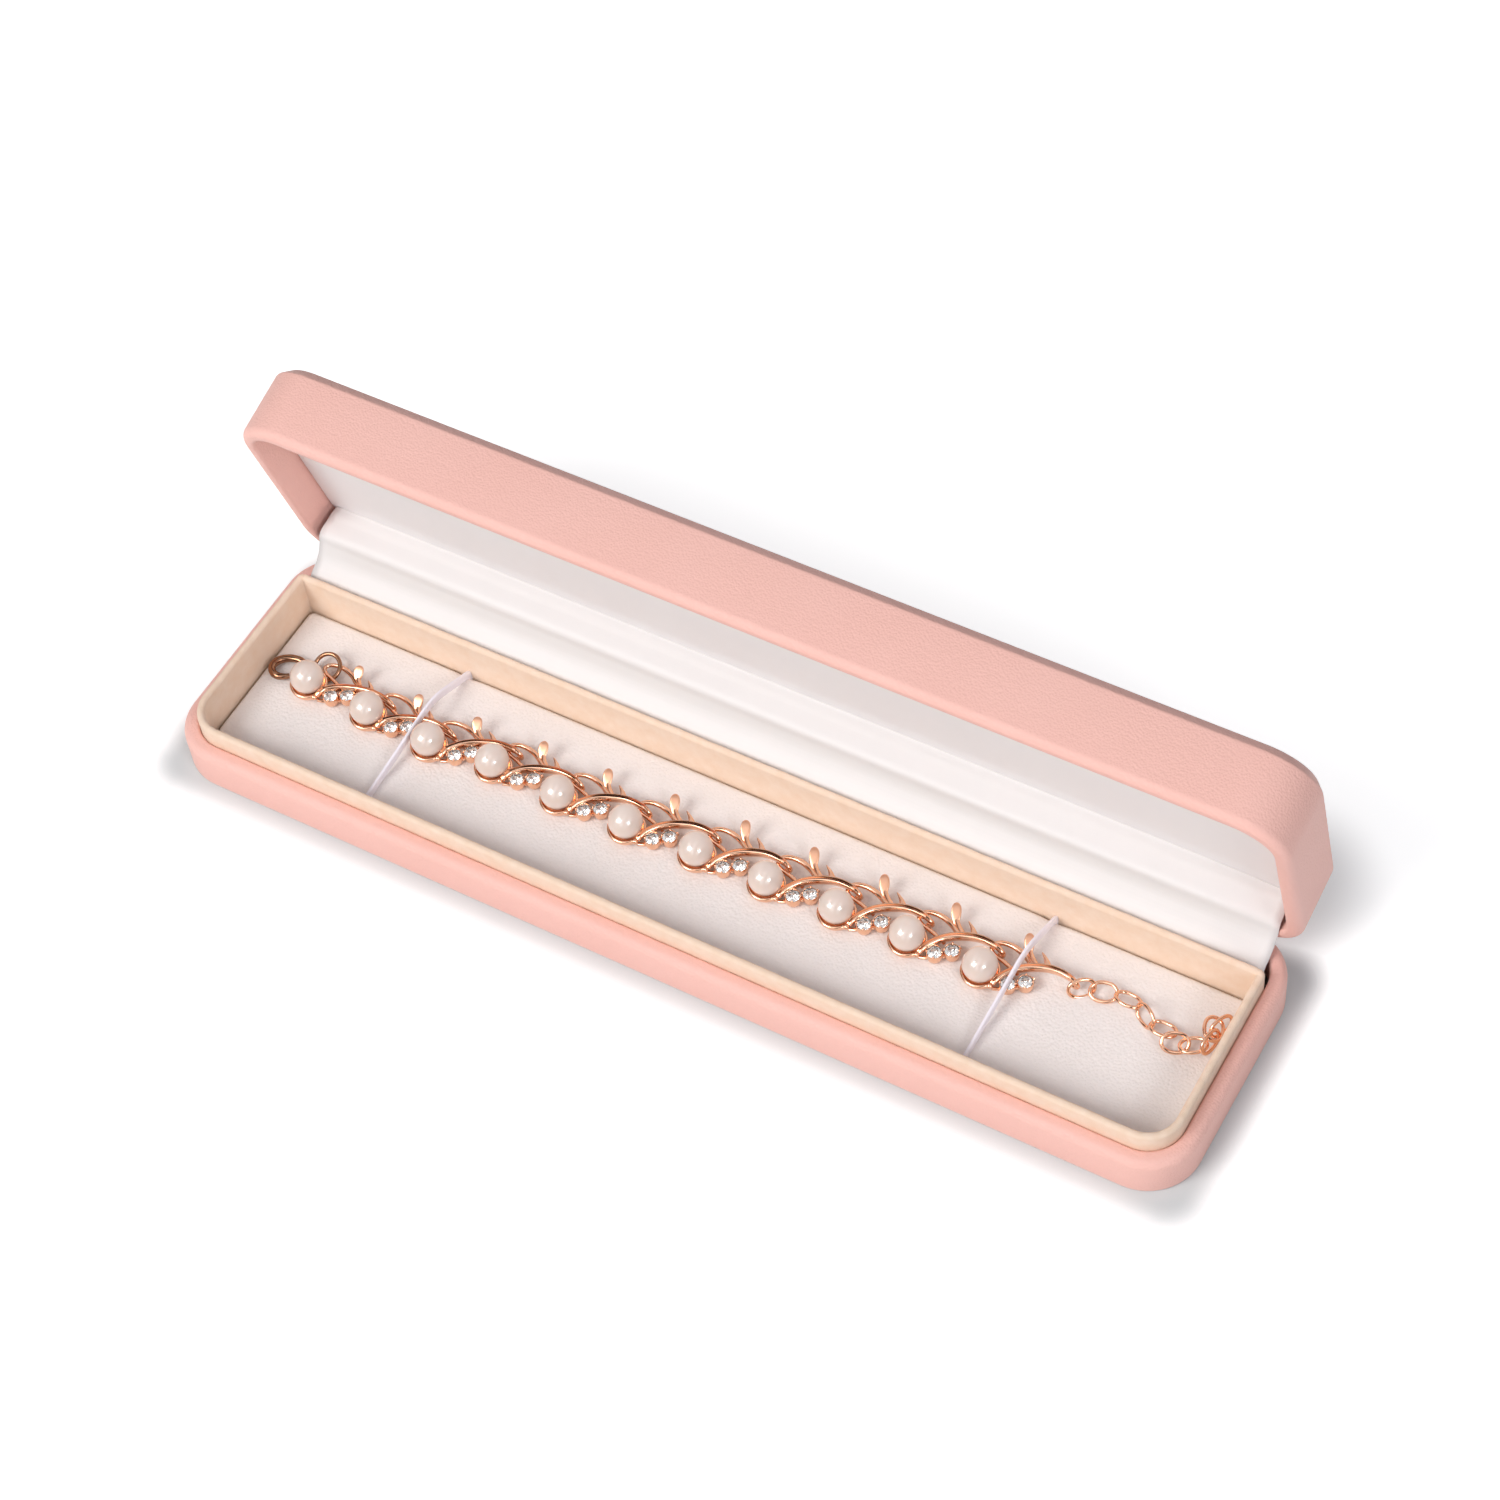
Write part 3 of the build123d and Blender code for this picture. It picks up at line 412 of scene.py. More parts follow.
def grained(name, hex_low, hex_high, pebble, depth, roughness, specular):
    """Coated cloth with an embossed grain: rounded cells of one pebble size under a finer noise."""
    finish, tree, output, place = new_finish(name)
    where = place.outputs["Object"]
    drift = add_node(tree, "ShaderNodeTexNoise", inputs={
        "Vector": where, "Scale": 0.9 / (pebble * MM), "Detail": 2.0})
    shift = add_node(tree, "ShaderNodeMix", {"data_type": "VECTOR"},
                     {"Factor": 0.05 * pebble * MM, "A": where, "B": drift.outputs["Color"]})
    cells = add_node(tree, "ShaderNodeTexVoronoi", {"feature": "SMOOTH_F1"},
                     {"Vector": shift.outputs["Result"], "Scale": 1 / (pebble * MM), "Smoothness": 0.5})
    fine = add_node(tree, "ShaderNodeTexNoise", inputs={
        "Vector": where, "Scale": 3 / (pebble * MM), "Detail": 3.0})
    height = add_node(tree, "ShaderNodeMath", {"operation": "MULTIPLY_ADD"},
                      {0: fine.outputs["Fac"], 1: 0.35, 2: cells.outputs["Distance"]})
    bump = add_node(tree, "ShaderNodeBump", {"invert": True},
                    {"Strength": 0.6, "Distance": depth * MM, "Height": height.outputs["Value"]})
    cloudy = add_node(tree, "ShaderNodeTexNoise", inputs={"Vector": where, "Scale": 60.0, "Detail": 3.0})
    base = add_node(tree, "ShaderNodeMix", {"data_type": "RGBA"},
                    {"Factor": cloudy.outputs["Fac"], "A": colour(hex_low), "B": colour(hex_high)})
    skin = add_node(tree, "ShaderNodeBsdfPrincipled", inputs={
        "Base Color": base.outputs["Result"], "Roughness": roughness, "Specular IOR Level": specular,
        "Normal": bump.outputs["Normal"]})
    tree.links.new(skin.outputs["BSDF"], output.inputs["Surface"])
    return finish


def metal(name, text, roughness, grain=0.0, pale=None):
    """Polished plated metal: its colour drifts slightly and fine noise roughens it."""
    finish, tree, output, place = new_finish(name)
    where = place.outputs["Object"]
    drift = add_node(tree, "ShaderNodeTexNoise", inputs={"Vector": where, "Scale": 700.0, "Detail": 3.0})
    base = add_node(tree, "ShaderNodeMix", {"data_type": "RGBA"},
                    {"Factor": drift.outputs["Fac"], "A": colour(text), "B": colour(pale or text)})
    bump = add_node(tree, "ShaderNodeBump", inputs={
        "Strength": grain, "Distance": 0.00002, "Height": drift.outputs["Fac"]})
    plate = add_node(tree, "ShaderNodeBsdfPrincipled", inputs={
        "Base Color": base.outputs["Result"], "Metallic": 1.0, "Roughness": roughness,
        "Normal": bump.outputs["Normal"]})
    tree.links.new(plate.outputs["BSDF"], output.inputs["Surface"])
    return finish


def woven(name, text, threads, depth, roughness, sheen, gloss, ribs_only=False):
    """Woven cloth on the piece's own UV in metres: one set of waves across the other, threads to the
    millimetre."""
    finish, tree, output, place = new_finish(name)
    where = place.outputs["UV"]
    count = threads / MM / 2 / np.pi
    across = add_node(tree, "ShaderNodeTexWave", {"bands_direction": "X"},
                      {"Vector": where, "Scale": count, "Distortion": 0.6, "Detail": 1.0})
    along = add_node(tree, "ShaderNodeTexWave", {"bands_direction": "Y"},
                     {"Vector": where, "Scale": count * 0.6, "Distortion": 0.8, "Detail": 1.0})
    both = add_node(tree, "ShaderNodeMath", {"operation": "MULTIPLY"},
                    {0: across.outputs["Fac"], 1: along.outputs["Fac"]})
    height = across.outputs["Fac"] if ribs_only else both.outputs["Value"]
    bump = add_node(tree, "ShaderNodeBump", inputs={
        "Strength": 0.5, "Distance": depth * MM, "Height": height})
    cloth = add_node(tree, "ShaderNodeBsdfPrincipled", inputs={
        "Base Color": colour(text), "Roughness": roughness, "Normal": bump.outputs["Normal"],
        "Sheen Weight": sheen, "Sheen Roughness": 0.35, "Specular IOR Level": gloss})
    tree.links.new(cloth.outputs["BSDF"], output.inputs["Surface"])
    return finish


def velvet_pile(name, low, high):
    """Short pile: fine tufts over a brushed cloudiness, lit softly at the edges by sheen."""
    finish, tree, output, place = new_finish(name)
    where = place.outputs["Object"]
    tufts = add_node(tree, "ShaderNodeTexNoise", inputs={"Vector": where, "Scale": 6000.0, "Detail": 3.0})
    brushed = add_node(tree, "ShaderNodeTexNoise", inputs={"Vector": where, "Scale": 450.0, "Detail": 4.0})
    base = add_node(tree, "ShaderNodeMix", {"data_type": "RGBA"},
                    {"Factor": brushed.outputs["Fac"], "A": colour(low), "B": colour(high)})
    bump = add_node(tree, "ShaderNodeBump", inputs={
        "Strength": 0.8, "Distance": 0.0001, "Height": tufts.outputs["Fac"]})
    pile = add_node(tree, "ShaderNodeBsdfPrincipled", inputs={
        "Base Color": base.outputs["Result"], "Roughness": 0.95, "Specular IOR Level": 0.1,
        "Normal": bump.outputs["Normal"], "Sheen Weight": 0.3, "Sheen Roughness": 0.5,
        "Sheen Tint": colour("#FFF3E6")})
    tree.links.new(pile.outputs["BSDF"], output.inputs["Surface"])
    return finish


def pearl_lacquer(name, low, high):
    """Moulded pearl: pale body, smooth clear lacquer, and a peach sheen that paints the gold's reflection."""
    finish, tree, output, place = new_finish(name)
    cloudy = add_node(tree, "ShaderNodeTexNoise", inputs={"Vector": place.outputs["Object"], "Scale": 250.0})
    base = add_node(tree, "ShaderNodeMix", {"data_type": "RGBA"},
                    {"Factor": cloudy.outputs["Fac"], "A": colour(low), "B": colour(high)})
    body = add_node(tree, "ShaderNodeBsdfPrincipled", inputs={
        "Base Color": base.outputs["Result"], "Roughness": 0.3, "Specular IOR Level": 0.3,
        "Coat Weight": 1.0, "Coat Roughness": 0.05, "Coat IOR": 1.8, "Subsurface Weight": 0.25,
        # Painted reflection: the peach sheen at the edges stands in for the rose gold reflected in the pearls
        "Subsurface Scale": 0.0012, "Subsurface Radius": (1.0, 0.75, 0.6), "Sheen Weight": 0.75,
        "Sheen Tint": colour("#FFC6A8"), "Sheen Roughness": 0.3})
    tree.links.new(body.outputs["BSDF"], output.inputs["Surface"])
    return finish


def cut_glass(name):
    """Clear cut stone: smooth glass of high index."""
    finish, tree, output = new_finish(name)[:3]
    glass = add_node(tree, "ShaderNodeBsdfPrincipled", inputs={
        "Base Color": colour("#FFFFFF"), "Roughness": 0.0, "IOR": 1.9, "Transmission Weight": 0.9,
        "Specular IOR Level": 0.6})
    tree.links.new(glass.outputs["BSDF"], output.inputs["Surface"])
    return finish


def board(name, low, high, scale=900.0, roughness=0.9):
    """Pressed fibre board or foam: two tones mixed by a fine noise that also lifts the surface."""
    finish, tree, output, place = new_finish(name)
    fibres = add_node(tree, "ShaderNodeTexNoise", inputs={
        "Vector": place.outputs["Object"], "Scale": scale, "Detail": 4.0})
    base = add_node(tree, "ShaderNodeMix", {"data_type": "RGBA"},
                    {"Factor": fibres.outputs["Fac"], "A": colour(low), "B": colour(high)})
    bump = add_node(tree, "ShaderNodeBump", inputs={
        "Strength": 0.5, "Distance": 0.0001, "Height": fibres.outputs["Fac"]})
    body = add_node(tree, "ShaderNodeBsdfPrincipled", inputs={
        "Base Color": base.outputs["Result"], "Roughness": roughness, "Normal": bump.outputs["Normal"]})
    tree.links.new(body.outputs["BSDF"], output.inputs["Surface"])
    return finish


FINISHES = {}


def finish_for(word):
    """Makes each finish once, under the trade's name for it."""
    makers = {
        # Pink coated cloth with a pebble grain, rolled on under heat
        "leatherette": lambda: grained("pink_pebble_leatherette", "#F6C1B5", "#F9C7BC", 0.46, 0.13, 0.52,
                                       0.28),
        # White coated cloth with a slightly wider grain
        "pad": lambda: grained("white_fine_grain_leatherette", "#EFE9E6", "#F3EEEC", 0.6, 0.19, 0.5, 0.4),
        # Pale calendered lining paper
        "lining": lambda: grained("pale_calendered_lining", "#F0ECEC", "#F3F1F1", 0.3, 0.012, 0.7, 0.2),
        # Cream cotton velvet
        "velvet": lambda: velvet_pile("cream_cotton_velvet", "#F0D1B5", "#FAE6D4"),
        # White satin woven tape
        "satin": lambda: woven("white_woven_satin", "#E6E4E3", 4.0, 0.012, 0.5, 0.3, 0.5),
        # White braided elastic, ribs along its length
        "elastic": lambda: woven("white_braided_elastic", "#F8F5FE", 2.2, 0.03, 0.6, 0.2, 0.35, True),
        # Rose gold plate, polished
        "rose": lambda: metal("polished_rose_gold_plate", "#F4BD99", 0.1, 0.05, "#F9CCAE"),
        # Rose gold plate, satin on the leaves
        "satin_rose": lambda: metal("satin_rose_gold_plate", "#EDB28F", 0.34, 0.05, "#F3C0A0"),
        # Darker plate on the clasp
        "bronze": lambda: metal("antiqued_rose_plate", "#AE8267", 0.16, 0.12, "#946C52"),
        # Nickel plated steel of the hinges
        "steel": lambda: metal("nickel_plated_spring_steel", "#C9C8C6", 0.3, 0.1),
        # Lacquer of the moulded pearls
        "pearl": lambda: pearl_lacquer("ivory_pearl_lacquer", "#E7D5CA", "#ECDFD6"),
        # Glass of the cut stones
        "crystal": lambda: cut_glass("clear_cut_crystal"),
        # Foil behind the cut stones
        "foil": lambda: metal("silver_stone_foil", "#F2F2F2", 0.03, 0.0),
        # Boards, foam and paper, which the covers hide but for the sheet underneath
        "greyboard": lambda: board("wrapped_greyboard", "#8F8A83", "#A39E96"),
        "foam": lambda: board("cut_foam", "#EDEAE4", "#F6F3EE", 2500.0),
        "paper": lambda: board("plain_underside_paper", "#E9DFD9", "#F0E7E2", 1500.0, 0.75),
    }
    if word not in FINISHES:
        FINISHES[word] = makers[word]()
    return FINISHES[word]


# Sizes and colours a user would change

class GiftCaseSizes(bpy.types.PropertyGroup):
    """Sizes of the soft and moulded pieces, in metres as Blender keeps them, and the main lamp's power."""
    rim_round: bpy.props.FloatProperty(name="Rim Round", description="Rounding of the covered rims",
                                       default=1.8 * MM, min=0.4 * MM, max=2.4 * MM, unit="LENGTH")
    pad_crown: bpy.props.FloatProperty(name="Pad Crown", description="How far the pad swells in the middle",
                                       default=0.5 * MM, min=0.0, max=1.0 * MM, unit="LENGTH")
    band_width: bpy.props.FloatProperty(name="Band Width", description="Width of the elastic bands",
                                        default=2.0 * MM, min=1.0 * MM, max=3.0 * MM, unit="LENGTH")
    fold_depth: bpy.props.FloatProperty(name="Fold Depth", description="How deep the hinge cloth folds",
                                        default=0.7 * MM, min=0.0, max=1.2 * MM, unit="LENGTH")
    pile_depth: bpy.props.FloatProperty(name="Pile Depth", description="How uneven the velvet edge is",
                                        default=0.11 * MM, min=0.0, max=0.2 * MM, unit="LENGTH")
    key_light: bpy.props.FloatProperty(name="Key Light", description="Power of the main lamp",
                                       default=58.0, min=0.0, subtype="POWER")


class GiftCaseColours(bpy.types.PropertyGroup):
    """Colours of the stage."""
    floor: bpy.props.FloatVectorProperty(name="Floor", description="Colour of the floor",
                                         default=colour("#ECECEC")[:3], size=3, subtype="COLOR", min=0.0,
                                         max=1.0)


def sizes():
    """The size settings of this scene."""
    return bpy.context.scene.gift_case_sizes


# Pieces

class CASE_OT_base_wrap(bpy.types.Operator):
    """Pink leatherette over the base walls, turned in over the rim and under the foot"""
    bl_idname = "gift_case.base_wrap"
    bl_label = "Base Wrap"

    def execute(self, context):
        rounding, skin, wall, rim = sizes().rim_round / MM, SKIN, BASE_WALL, BASE_RIM
        turned_in = rim - BASE_TURN_IN
        profile = ([(FOOT_TURN_IN, 0.0)] + arc(FOOT_ROUND, FOOT_ROUND, FOOT_ROUND, 270, 180, 5)
                   + arc(rounding, rim - rounding, rounding, 180, 90, 10)
                   + arc(wall - EDGE_ROUND, rim - EDGE_ROUND, EDGE_ROUND, 90, 0, 6)
                   + [(wall, turned_in), (wall - skin, turned_in)]
                   + arc(wall - skin - FOLD_ROUND, rim - skin - FOLD_ROUND, FOLD_ROUND, 0, 90, 3)
                   + arc(rounding, rim - rounding, rounding - skin, 90, 180, 6)
                   + [(skin, 0.8), (0.9, skin), (FOOT_TURN_IN, skin)])
        write_mesh("base_wrap", case_half(profile, rim - NOTCH_DEPTH, -1), [finish_for("leatherette")],
                   "base", "base_leatherette_wrap")
        return {"FINISHED"}


def risen(around, profile):
    """Stations by profile points in space: the plan's x and y with the profile's height."""
    heights = np.broadcast_to(profile[None, :, 1], around.shape[:2])
    return np.concatenate([around, heights[..., None]], -1)


def case_half(profile, notch_line, toward):
    """Wall profile of (inset, height) carried round the case plan. Inside a notch the height stops at the
    notch line: at most that where toward is -1, at least that where it is 1."""
    profile = np.array(profile)
    around = plan(CASE_PLAN, profile[:, 0], fair(24), fair(6), notch_shares(HALF_LENGTH - CORNER))
    points = risen(around, profile)
    x, y, heights = points[..., 0], points[..., 1], points[..., 2]
    inside = np.any(np.abs(x[..., None] - np.array(NOTCH_CENTRES)) < NOTCH_HALF, axis=-1)
    inside &= (y > HALF_WIDTH - NOTCH_REACH) & (profile[None, :, 0] < NOTCH_REACH)
    stop = notch_line - toward * NOTCH_EASE
    cut = np.minimum(heights, stop) if toward < 0 else np.maximum(heights, stop)
    points[..., 2] = np.where(inside, cut, heights)
    return points.reshape(-1, 3), [grid_faces(points.shape[0], points.shape[1], True, True)]


def without_strip(shape, count, first):
    """A shape carried round in stations of count points: the strip from point first to the next is left out
    and each of its two edges is closed by one flat face."""
    points, (faces,) = shape
    rings = len(points) // count
    rest = np.delete(faces.reshape(rings, count, 4), first, axis=1).reshape(-1, 4)
    edge = np.arange(rings) * count + first
    return points, [rest, edge[None, :], (edge + 1)[None, ::-1]]


class CASE_OT_lid_wrap(bpy.types.Operator):
    """Pink leatherette over the lid: closed top, bevelled edge, rounded rim and deep turn-in"""
    bl_idname = "gift_case.lid_wrap"
    bl_label = "Lid Wrap"

    def execute(self, context):
        rounding, skin, wall, rim = sizes().rim_round / MM, SKIN, LID_WALL, LID_RIM
        top, turned_in = rim + LID_DEPTH, rim + LID_TURN_IN
        outer = ([(wall, turned_in)] + arc(wall - EDGE_ROUND, rim + EDGE_ROUND, EDGE_ROUND, 0, -90, 6)
                 + arc(rounding, rim + rounding, rounding, 270, 180, 10) + bevel_turn(top, BEVEL, BEVEL_ROUND)
                 + [(inset, top) for inset in TOP_INSETS])
        inner = ([(inset, top - skin) for inset in TOP_INSETS[::-1]]
                 + [(INNER_BEVEL, top - skin), (skin, top - INNER_BEVEL)]
                 + arc(rounding, rim + rounding, rounding - skin, 180, 270, 6)
                 + arc(wall - skin - FOLD_ROUND, rim + skin + FOLD_ROUND, FOLD_ROUND, -90, 0, 3)
                 + [(wall - skin, turned_in)])
        walls = case_half(outer + inner, rim + NOTCH_DEPTH, 1)
        points, faces = without_strip(walls, len(outer) + len(inner), len(outer) - 1)
        write_mesh("lid_wrap", (opened(points), faces), [finish_for("leatherette")], "lid",
                   "lid_leatherette_wrap")
        return {"FINISHED"}


def bevel_turn(top, size, radius):
    """The lid's bevel: a wall turned by two arcs into a slope of half a right angle and then into the top."""
    ease = radius * np.tan(np.radians(22.5))
    low = arc(radius, top - size - ease, radius, 180, 135, 5)
    high = arc(size + ease, top - radius, radius, 135, 90, 5)
    return low + high


class CASE_OT_lid_panel(bpy.types.Operator):
    """Pale lining over the lid's inner board, its edges eased"""
    bl_idname = "gift_case.lid_panel"
    bl_label = "Lid Panel"

    def execute(self, context):
        bottom, lip, skin = LID_RIM + PANEL_DEPTH, LID_RIM + PANEL_DEPTH + PANEL_LIP, PANEL_SKIN
        edge = PANEL_EDGE_ROUND
        outer = ([(PANEL_INSET, lip)] + arc(PANEL_INSET + edge, bottom + edge, edge, 180, 270, 5)
                 + [(PANEL_REACH, bottom)])
        inner = [(PANEL_REACH, bottom + skin), (PANEL_INNER_INSETS[0], bottom + skin),
                 (PANEL_INNER_INSETS[1], lip)]
        profile = np.array(outer + inner)
        points = risen(plan(CASE_PLAN, profile[:, 0], fair(24), fair(6), fair(24)), profile)
        rings, count = points.shape[:2]
        sheet = (points.reshape(-1, 3), [grid_faces(rings, count, True, True)])
        points, faces = without_strip(sheet, count, len(outer) - 1)
        write_mesh("lid_panel", (opened(points), faces), [finish_for("lining")], "lid", "lid_panel_lining")
        return {"FINISHED"}


class CASE_OT_collar(bpy.types.Operator):
    """Cream velvet over the collar board, with a full rounded edge and the pile a little uneven"""
    bl_idname = "gift_case.collar"
    bl_label = "Velvet Collar"

    def execute(self, context):
        top, wall, pile, edge_round, steps = COLLAR_TOP, COLLAR_WALL, VELVET, COLLAR_ROUND, 8
        low, high = COLLAR_STATIONS
        outside = ([(0.0, FLOOR_TOP), (0.0, low), (0.0, high)]
                   + arc(edge_round, top - edge_round, edge_round, 180, 90, steps))
        inside = (arc(wall - edge_round, top - edge_round, edge_round, 90, 0, steps)
                  + [(wall, high), (wall, low), (wall, FLOOR_TOP)])
        hollow = [(wall - pile, FLOOR_TOP), (wall - pile, top - 0.7), (pile, top - 0.7), (pile, FLOOR_TOP)]
        profile = np.array(outside + inside + hollow)
        points = risen(plan(COLLAR_PLAN, profile[:, 0], fair(300), fair(60), fair(300), 20), profile)
        # The pile: three crossed waves of unlike length along the collar, strongest on the rounded edge
        walk = np.arange(len(points))[:, None]
        ripple = (np.sin(walk * 0.91) + np.sin(walk * 1.7 + 2.0)
                  + np.sin(walk * 0.37 + profile[None, :, 1] * 2))
        raised = np.clip((profile[:, 1] - top + PILE_BAND) / PILE_BAND, 0, 1)
        raised = raised[None, :] * (np.arange(len(profile)) < len(outside) + steps + 1)
        points[..., 2] += sizes().pile_depth / MM * (ripple / 3) * raised
        shape = (points.reshape(-1, 3), [grid_faces(points.shape[0], points.shape[1], True, True)])
        write_mesh("velvet_collar", shape, [finish_for("velvet")], "base", "collar_velvet", sharp=60)
        return {"FINISHED"}


def edge_distance(x, y, outline):
    """Distance inwards from a round-cornered rectangle, with its own radius at front and back: the radius
    less the distance from the corner's centre, or in the middle the gap to the nearer side."""
    half, low, high, front_round, back_round = outline
    middle, half_y = (low + high) / 2, (high - low) / 2
    radius = np.where(y < middle, front_round, back_round)
    past_x, past_y = np.abs(x) - half + radius, np.abs(y - middle) - half_y + radius
    outside = np.hypot(np.maximum(past_x, 0), np.maximum(past_y, 0))
    return radius - outside - np.minimum(np.maximum(past_x, past_y), 0)


def corner_cut(gap, radius):
    """How much a round corner takes off a row's half length, where the gap to the edge is under the
    radius: the radius less the root of (its square less the square of what is left of it beyond the gap)."""
    bend = radius - np.sqrt(np.maximum(radius ** 2 - (radius - gap) ** 2, 0))
    return np.where(gap < radius, bend, 0)


class CASE_OT_pad(bpy.types.Operator):
    """White foam pad: rolled edge, low crown, and a dent where each band goes down"""
    bl_idname = "gift_case.pad"
    bl_label = "Pad"

    def execute(self, context):
        half, low, high, front_round, back_round = PAD_PLAN
        near = np.array([0, 0.05, 0.15, 0.32, 0.55, 0.85, 1.2, 1.7, 2.4, 3.4, 4.6, 6.0])
        y = np.concatenate([low + near, np.linspace(low + PAD_BORDER, high - PAD_BORDER, 18),
                            (high - near)[::-1]])
        short = corner_cut(y - low, front_round) + corner_cut(high - y, back_round)
        reach = 1 - PAD_BORDER / half
        shares = np.concatenate([-1 + near / half, np.linspace(-reach, reach, 150), (1 - near / half)[::-1]])
        x = shares[None, :] * (half - short)[:, None]
        y = np.broadcast_to(y[:, None], x.shape)
        inwards = np.clip(edge_distance(x, y, PAD_PLAN), 0, None)
        roll = np.clip(inwards / PAD_ROLL, 0, 1)
        swell = np.clip(inwards / CROWN_RUN, 0, 1)
        # The rolled edge drops as a quarter circle, and the crown rises as a parabola from edge to run
        z = PAD_EDGE - PAD_ROLL * (1 - np.sqrt(np.clip(1 - (1 - roll) ** 2, 0, 1)))
        z = z + sizes().pad_crown / MM * swell * (2 - swell)
        for band, slant in BANDS:
            line = band - (y - PAD_MIDDLE) * np.tan(np.radians(slant))
            z = z - DENT_DEPTH * np.exp(-((x - line) / DENT_WIDTH) ** 2) * np.exp(-inwards / DENT_REACH)
        rows, columns = x.shape
        top = np.stack([x, y, z], -1).reshape(-1, 3)
        index = np.arange(rows * columns).reshape(rows, columns)
        rim = np.concatenate([index[0, :-1], index[:-1, -1], index[-1, :0:-1], index[:0:-1, 0]])
        foot = top[rim].copy()
        foot[:, 2] = FLOOR_TOP
        feet = rows * columns + np.arange(len(rim))
        after, feet_after = np.roll(rim, -1), np.roll(feet, -1)
        walls = np.stack([after, feet_after, feet, rim], -1)
        shape = (np.concatenate([top, foot]), [grid_faces(rows, columns)[:, ::-1], walls, feet[None, ::-1]])
        piece = write_mesh("pad", shape, [finish_for("pad")], "base", ("pad_cover", "pad_foam"), closed=False)
        even_faces(piece)
        return {"FINISHED"}


def even_faces(piece):
    """Turns all faces of a closed piece the same way and outwards."""
    work = bmesh.new()
    work.from_mesh(piece.data)
    bmesh.ops.recalc_face_normals(work, faces=work.faces[:])
    work.to_mesh(piece.data)
    work.free()


class CASE_OT_bands(bpy.types.Operator):
    """Two white elastic bands, each from the slit behind the pad, over the bracelet, to the slit in front"""
    bl_idname = "gift_case.bands"
    bl_label = "Elastic Bands"

    def execute(self, context):
        route = [(16.15, 1.8), (16.15, 3.2), (16.0, 4.2), (15.2, 4.95), (13.0, 5.85), (9.0, 7.6),
                 (5.5, 8.85), (3.0, 9.1), (1.0, 8.98), (-2.0, 8.4), (-8.0, 7.2), (-14.0, 6.15),
                 (-19.5, 5.25), (-22.0, 4.85), (-22.85, 4.2), (-23.05, 3.2), (-23.05, 1.8)]
        side = smooth_path([(0, y, z) for y, z in route], 120)
        section = oval_section(sizes().band_width / MM / 2, BAND_HALF_THICK, BAND_SIDES, 0.6)
        braid = carried(side - np.array((0, PAD_MIDDLE, 0)), section, up=(1, 0, 0))
        length = np.concatenate([[0], np.cumsum(np.linalg.norm(np.diff(side, axis=0), axis=1))])
        number = np.arange(len(braid[0]))
        uv = np.stack([section[number % BAND_SIDES, 0], length[number // BAND_SIDES]], -1) * MM
        for (middle, slant), word in zip(BANDS, ("left", "right")):
            shape = moved(braid, slant, (middle, PAD_MIDDLE, 0))
            write_mesh("elastic_band_" + word + "_braid", shape, [finish_for("elastic")], "base",
                       "elastic_band_" + word, uv=uv)
        return {"FINISHED"}


class CASE_OT_hinge_cloth(bpy.types.Operator):
    """White satin strip from behind the collar to the lid panel, with soft folds along it"""
    bl_idname = "gift_case.hinge_cloth"
    bl_label = "Hinge Cloth"

    def execute(self, context):
        left = [(18.5, 4.0), (18.45, 7.0), (18.5, 9.6), (19.4, 11.6), (21.6, 13.2), (23.5, 14.9),
                (24.2, 16.9), (24.9, 18.8), (27.0, 19.9), (29.4, 20.3), (31.2, 20.4), (31.95, 20.35),
                (32.3, 18.9)]
        right = [(18.5, 4.0), (18.5, 6.4), (18.9, 8.4), (20.6, 9.9), (22.9, 10.9), (24.9, 12.2), (25.8, 14.1),
                 (26.6, 16.0), (28.2, 17.9), (29.9, 19.3), (31.4, 19.75), (32.1, 19.7), (32.4, 18.4)]
        rows, columns = 72, 120
        across = np.linspace(-CLOTH_HALF, CLOTH_HALF, columns)
        # The right end sags: its share of the lower line rises from nought, 86 mm out, to one at the end
        sag = np.clip((across - 86) / 22, 0, 1) ** 2
        sag = sag * sag * (3 - 2 * sag)
        first = smooth_path([(0, y, z) for y, z in left], rows)[:, None]
        last = smooth_path([(0, y, z) for y, z in right], rows)[:, None]
        points = first * (1 - sag)[None, :, None] + last * sag[None, :, None]
        # Folds: waves along the strip's length, shifted slowly from end to end and fading at both fixed edges
        run = np.linspace(0, 1, rows)[:, None]
        start, end, fade = 0.25, 0.86, 0.12
        free = np.clip(np.minimum(run - start, end - run) / fade, 0, 1)
        wave = np.sin(run * 34 + 0.5 * np.sin(across / 45)[None, :]) * 0.5
        near_end = np.exp(-((across - 112) / 30) ** 2)[None, :]
        wave = wave + 0.35 * np.sin(across[None, :] / 9 + run * 9) * near_end
        depth = (free * sizes().fold_depth / MM)[..., None]
        points = points + np.stack([np.zeros_like(wave), wave * -0.45, wave * 0.45], -1) * depth * 0.6
        points[..., 0] = across[None, :]
        narrow = np.clip((run - 0.9) / 0.1, 0, 1)
        points[..., 0] *= 1 - narrow * 3.5 / CLOTH_HALF
        length = np.concatenate([[0], np.cumsum(np.linalg.norm(np.diff(points[:, 20], axis=0), axis=1))])
        run_out = np.broadcast_to(length[:, None], points.shape[:2])
        uv = np.stack([points[..., 0], run_out], -1).reshape(-1, 2) * MM
        shape = (points.reshape(-1, 3), [grid_faces(rows, columns)])
        piece = write_mesh("satin_hinge_cloth", shape, [finish_for("satin")], None, "hinge_cloth", uv=uv,
                           closed=False, sharp=180)
        wall = piece.modifiers.new("cloth thickness", "SOLIDIFY")
        wall.thickness = CLOTH_THICKNESS * MM
        wall.offset = 0.0
        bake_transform(piece)
        return {"FINISHED"}


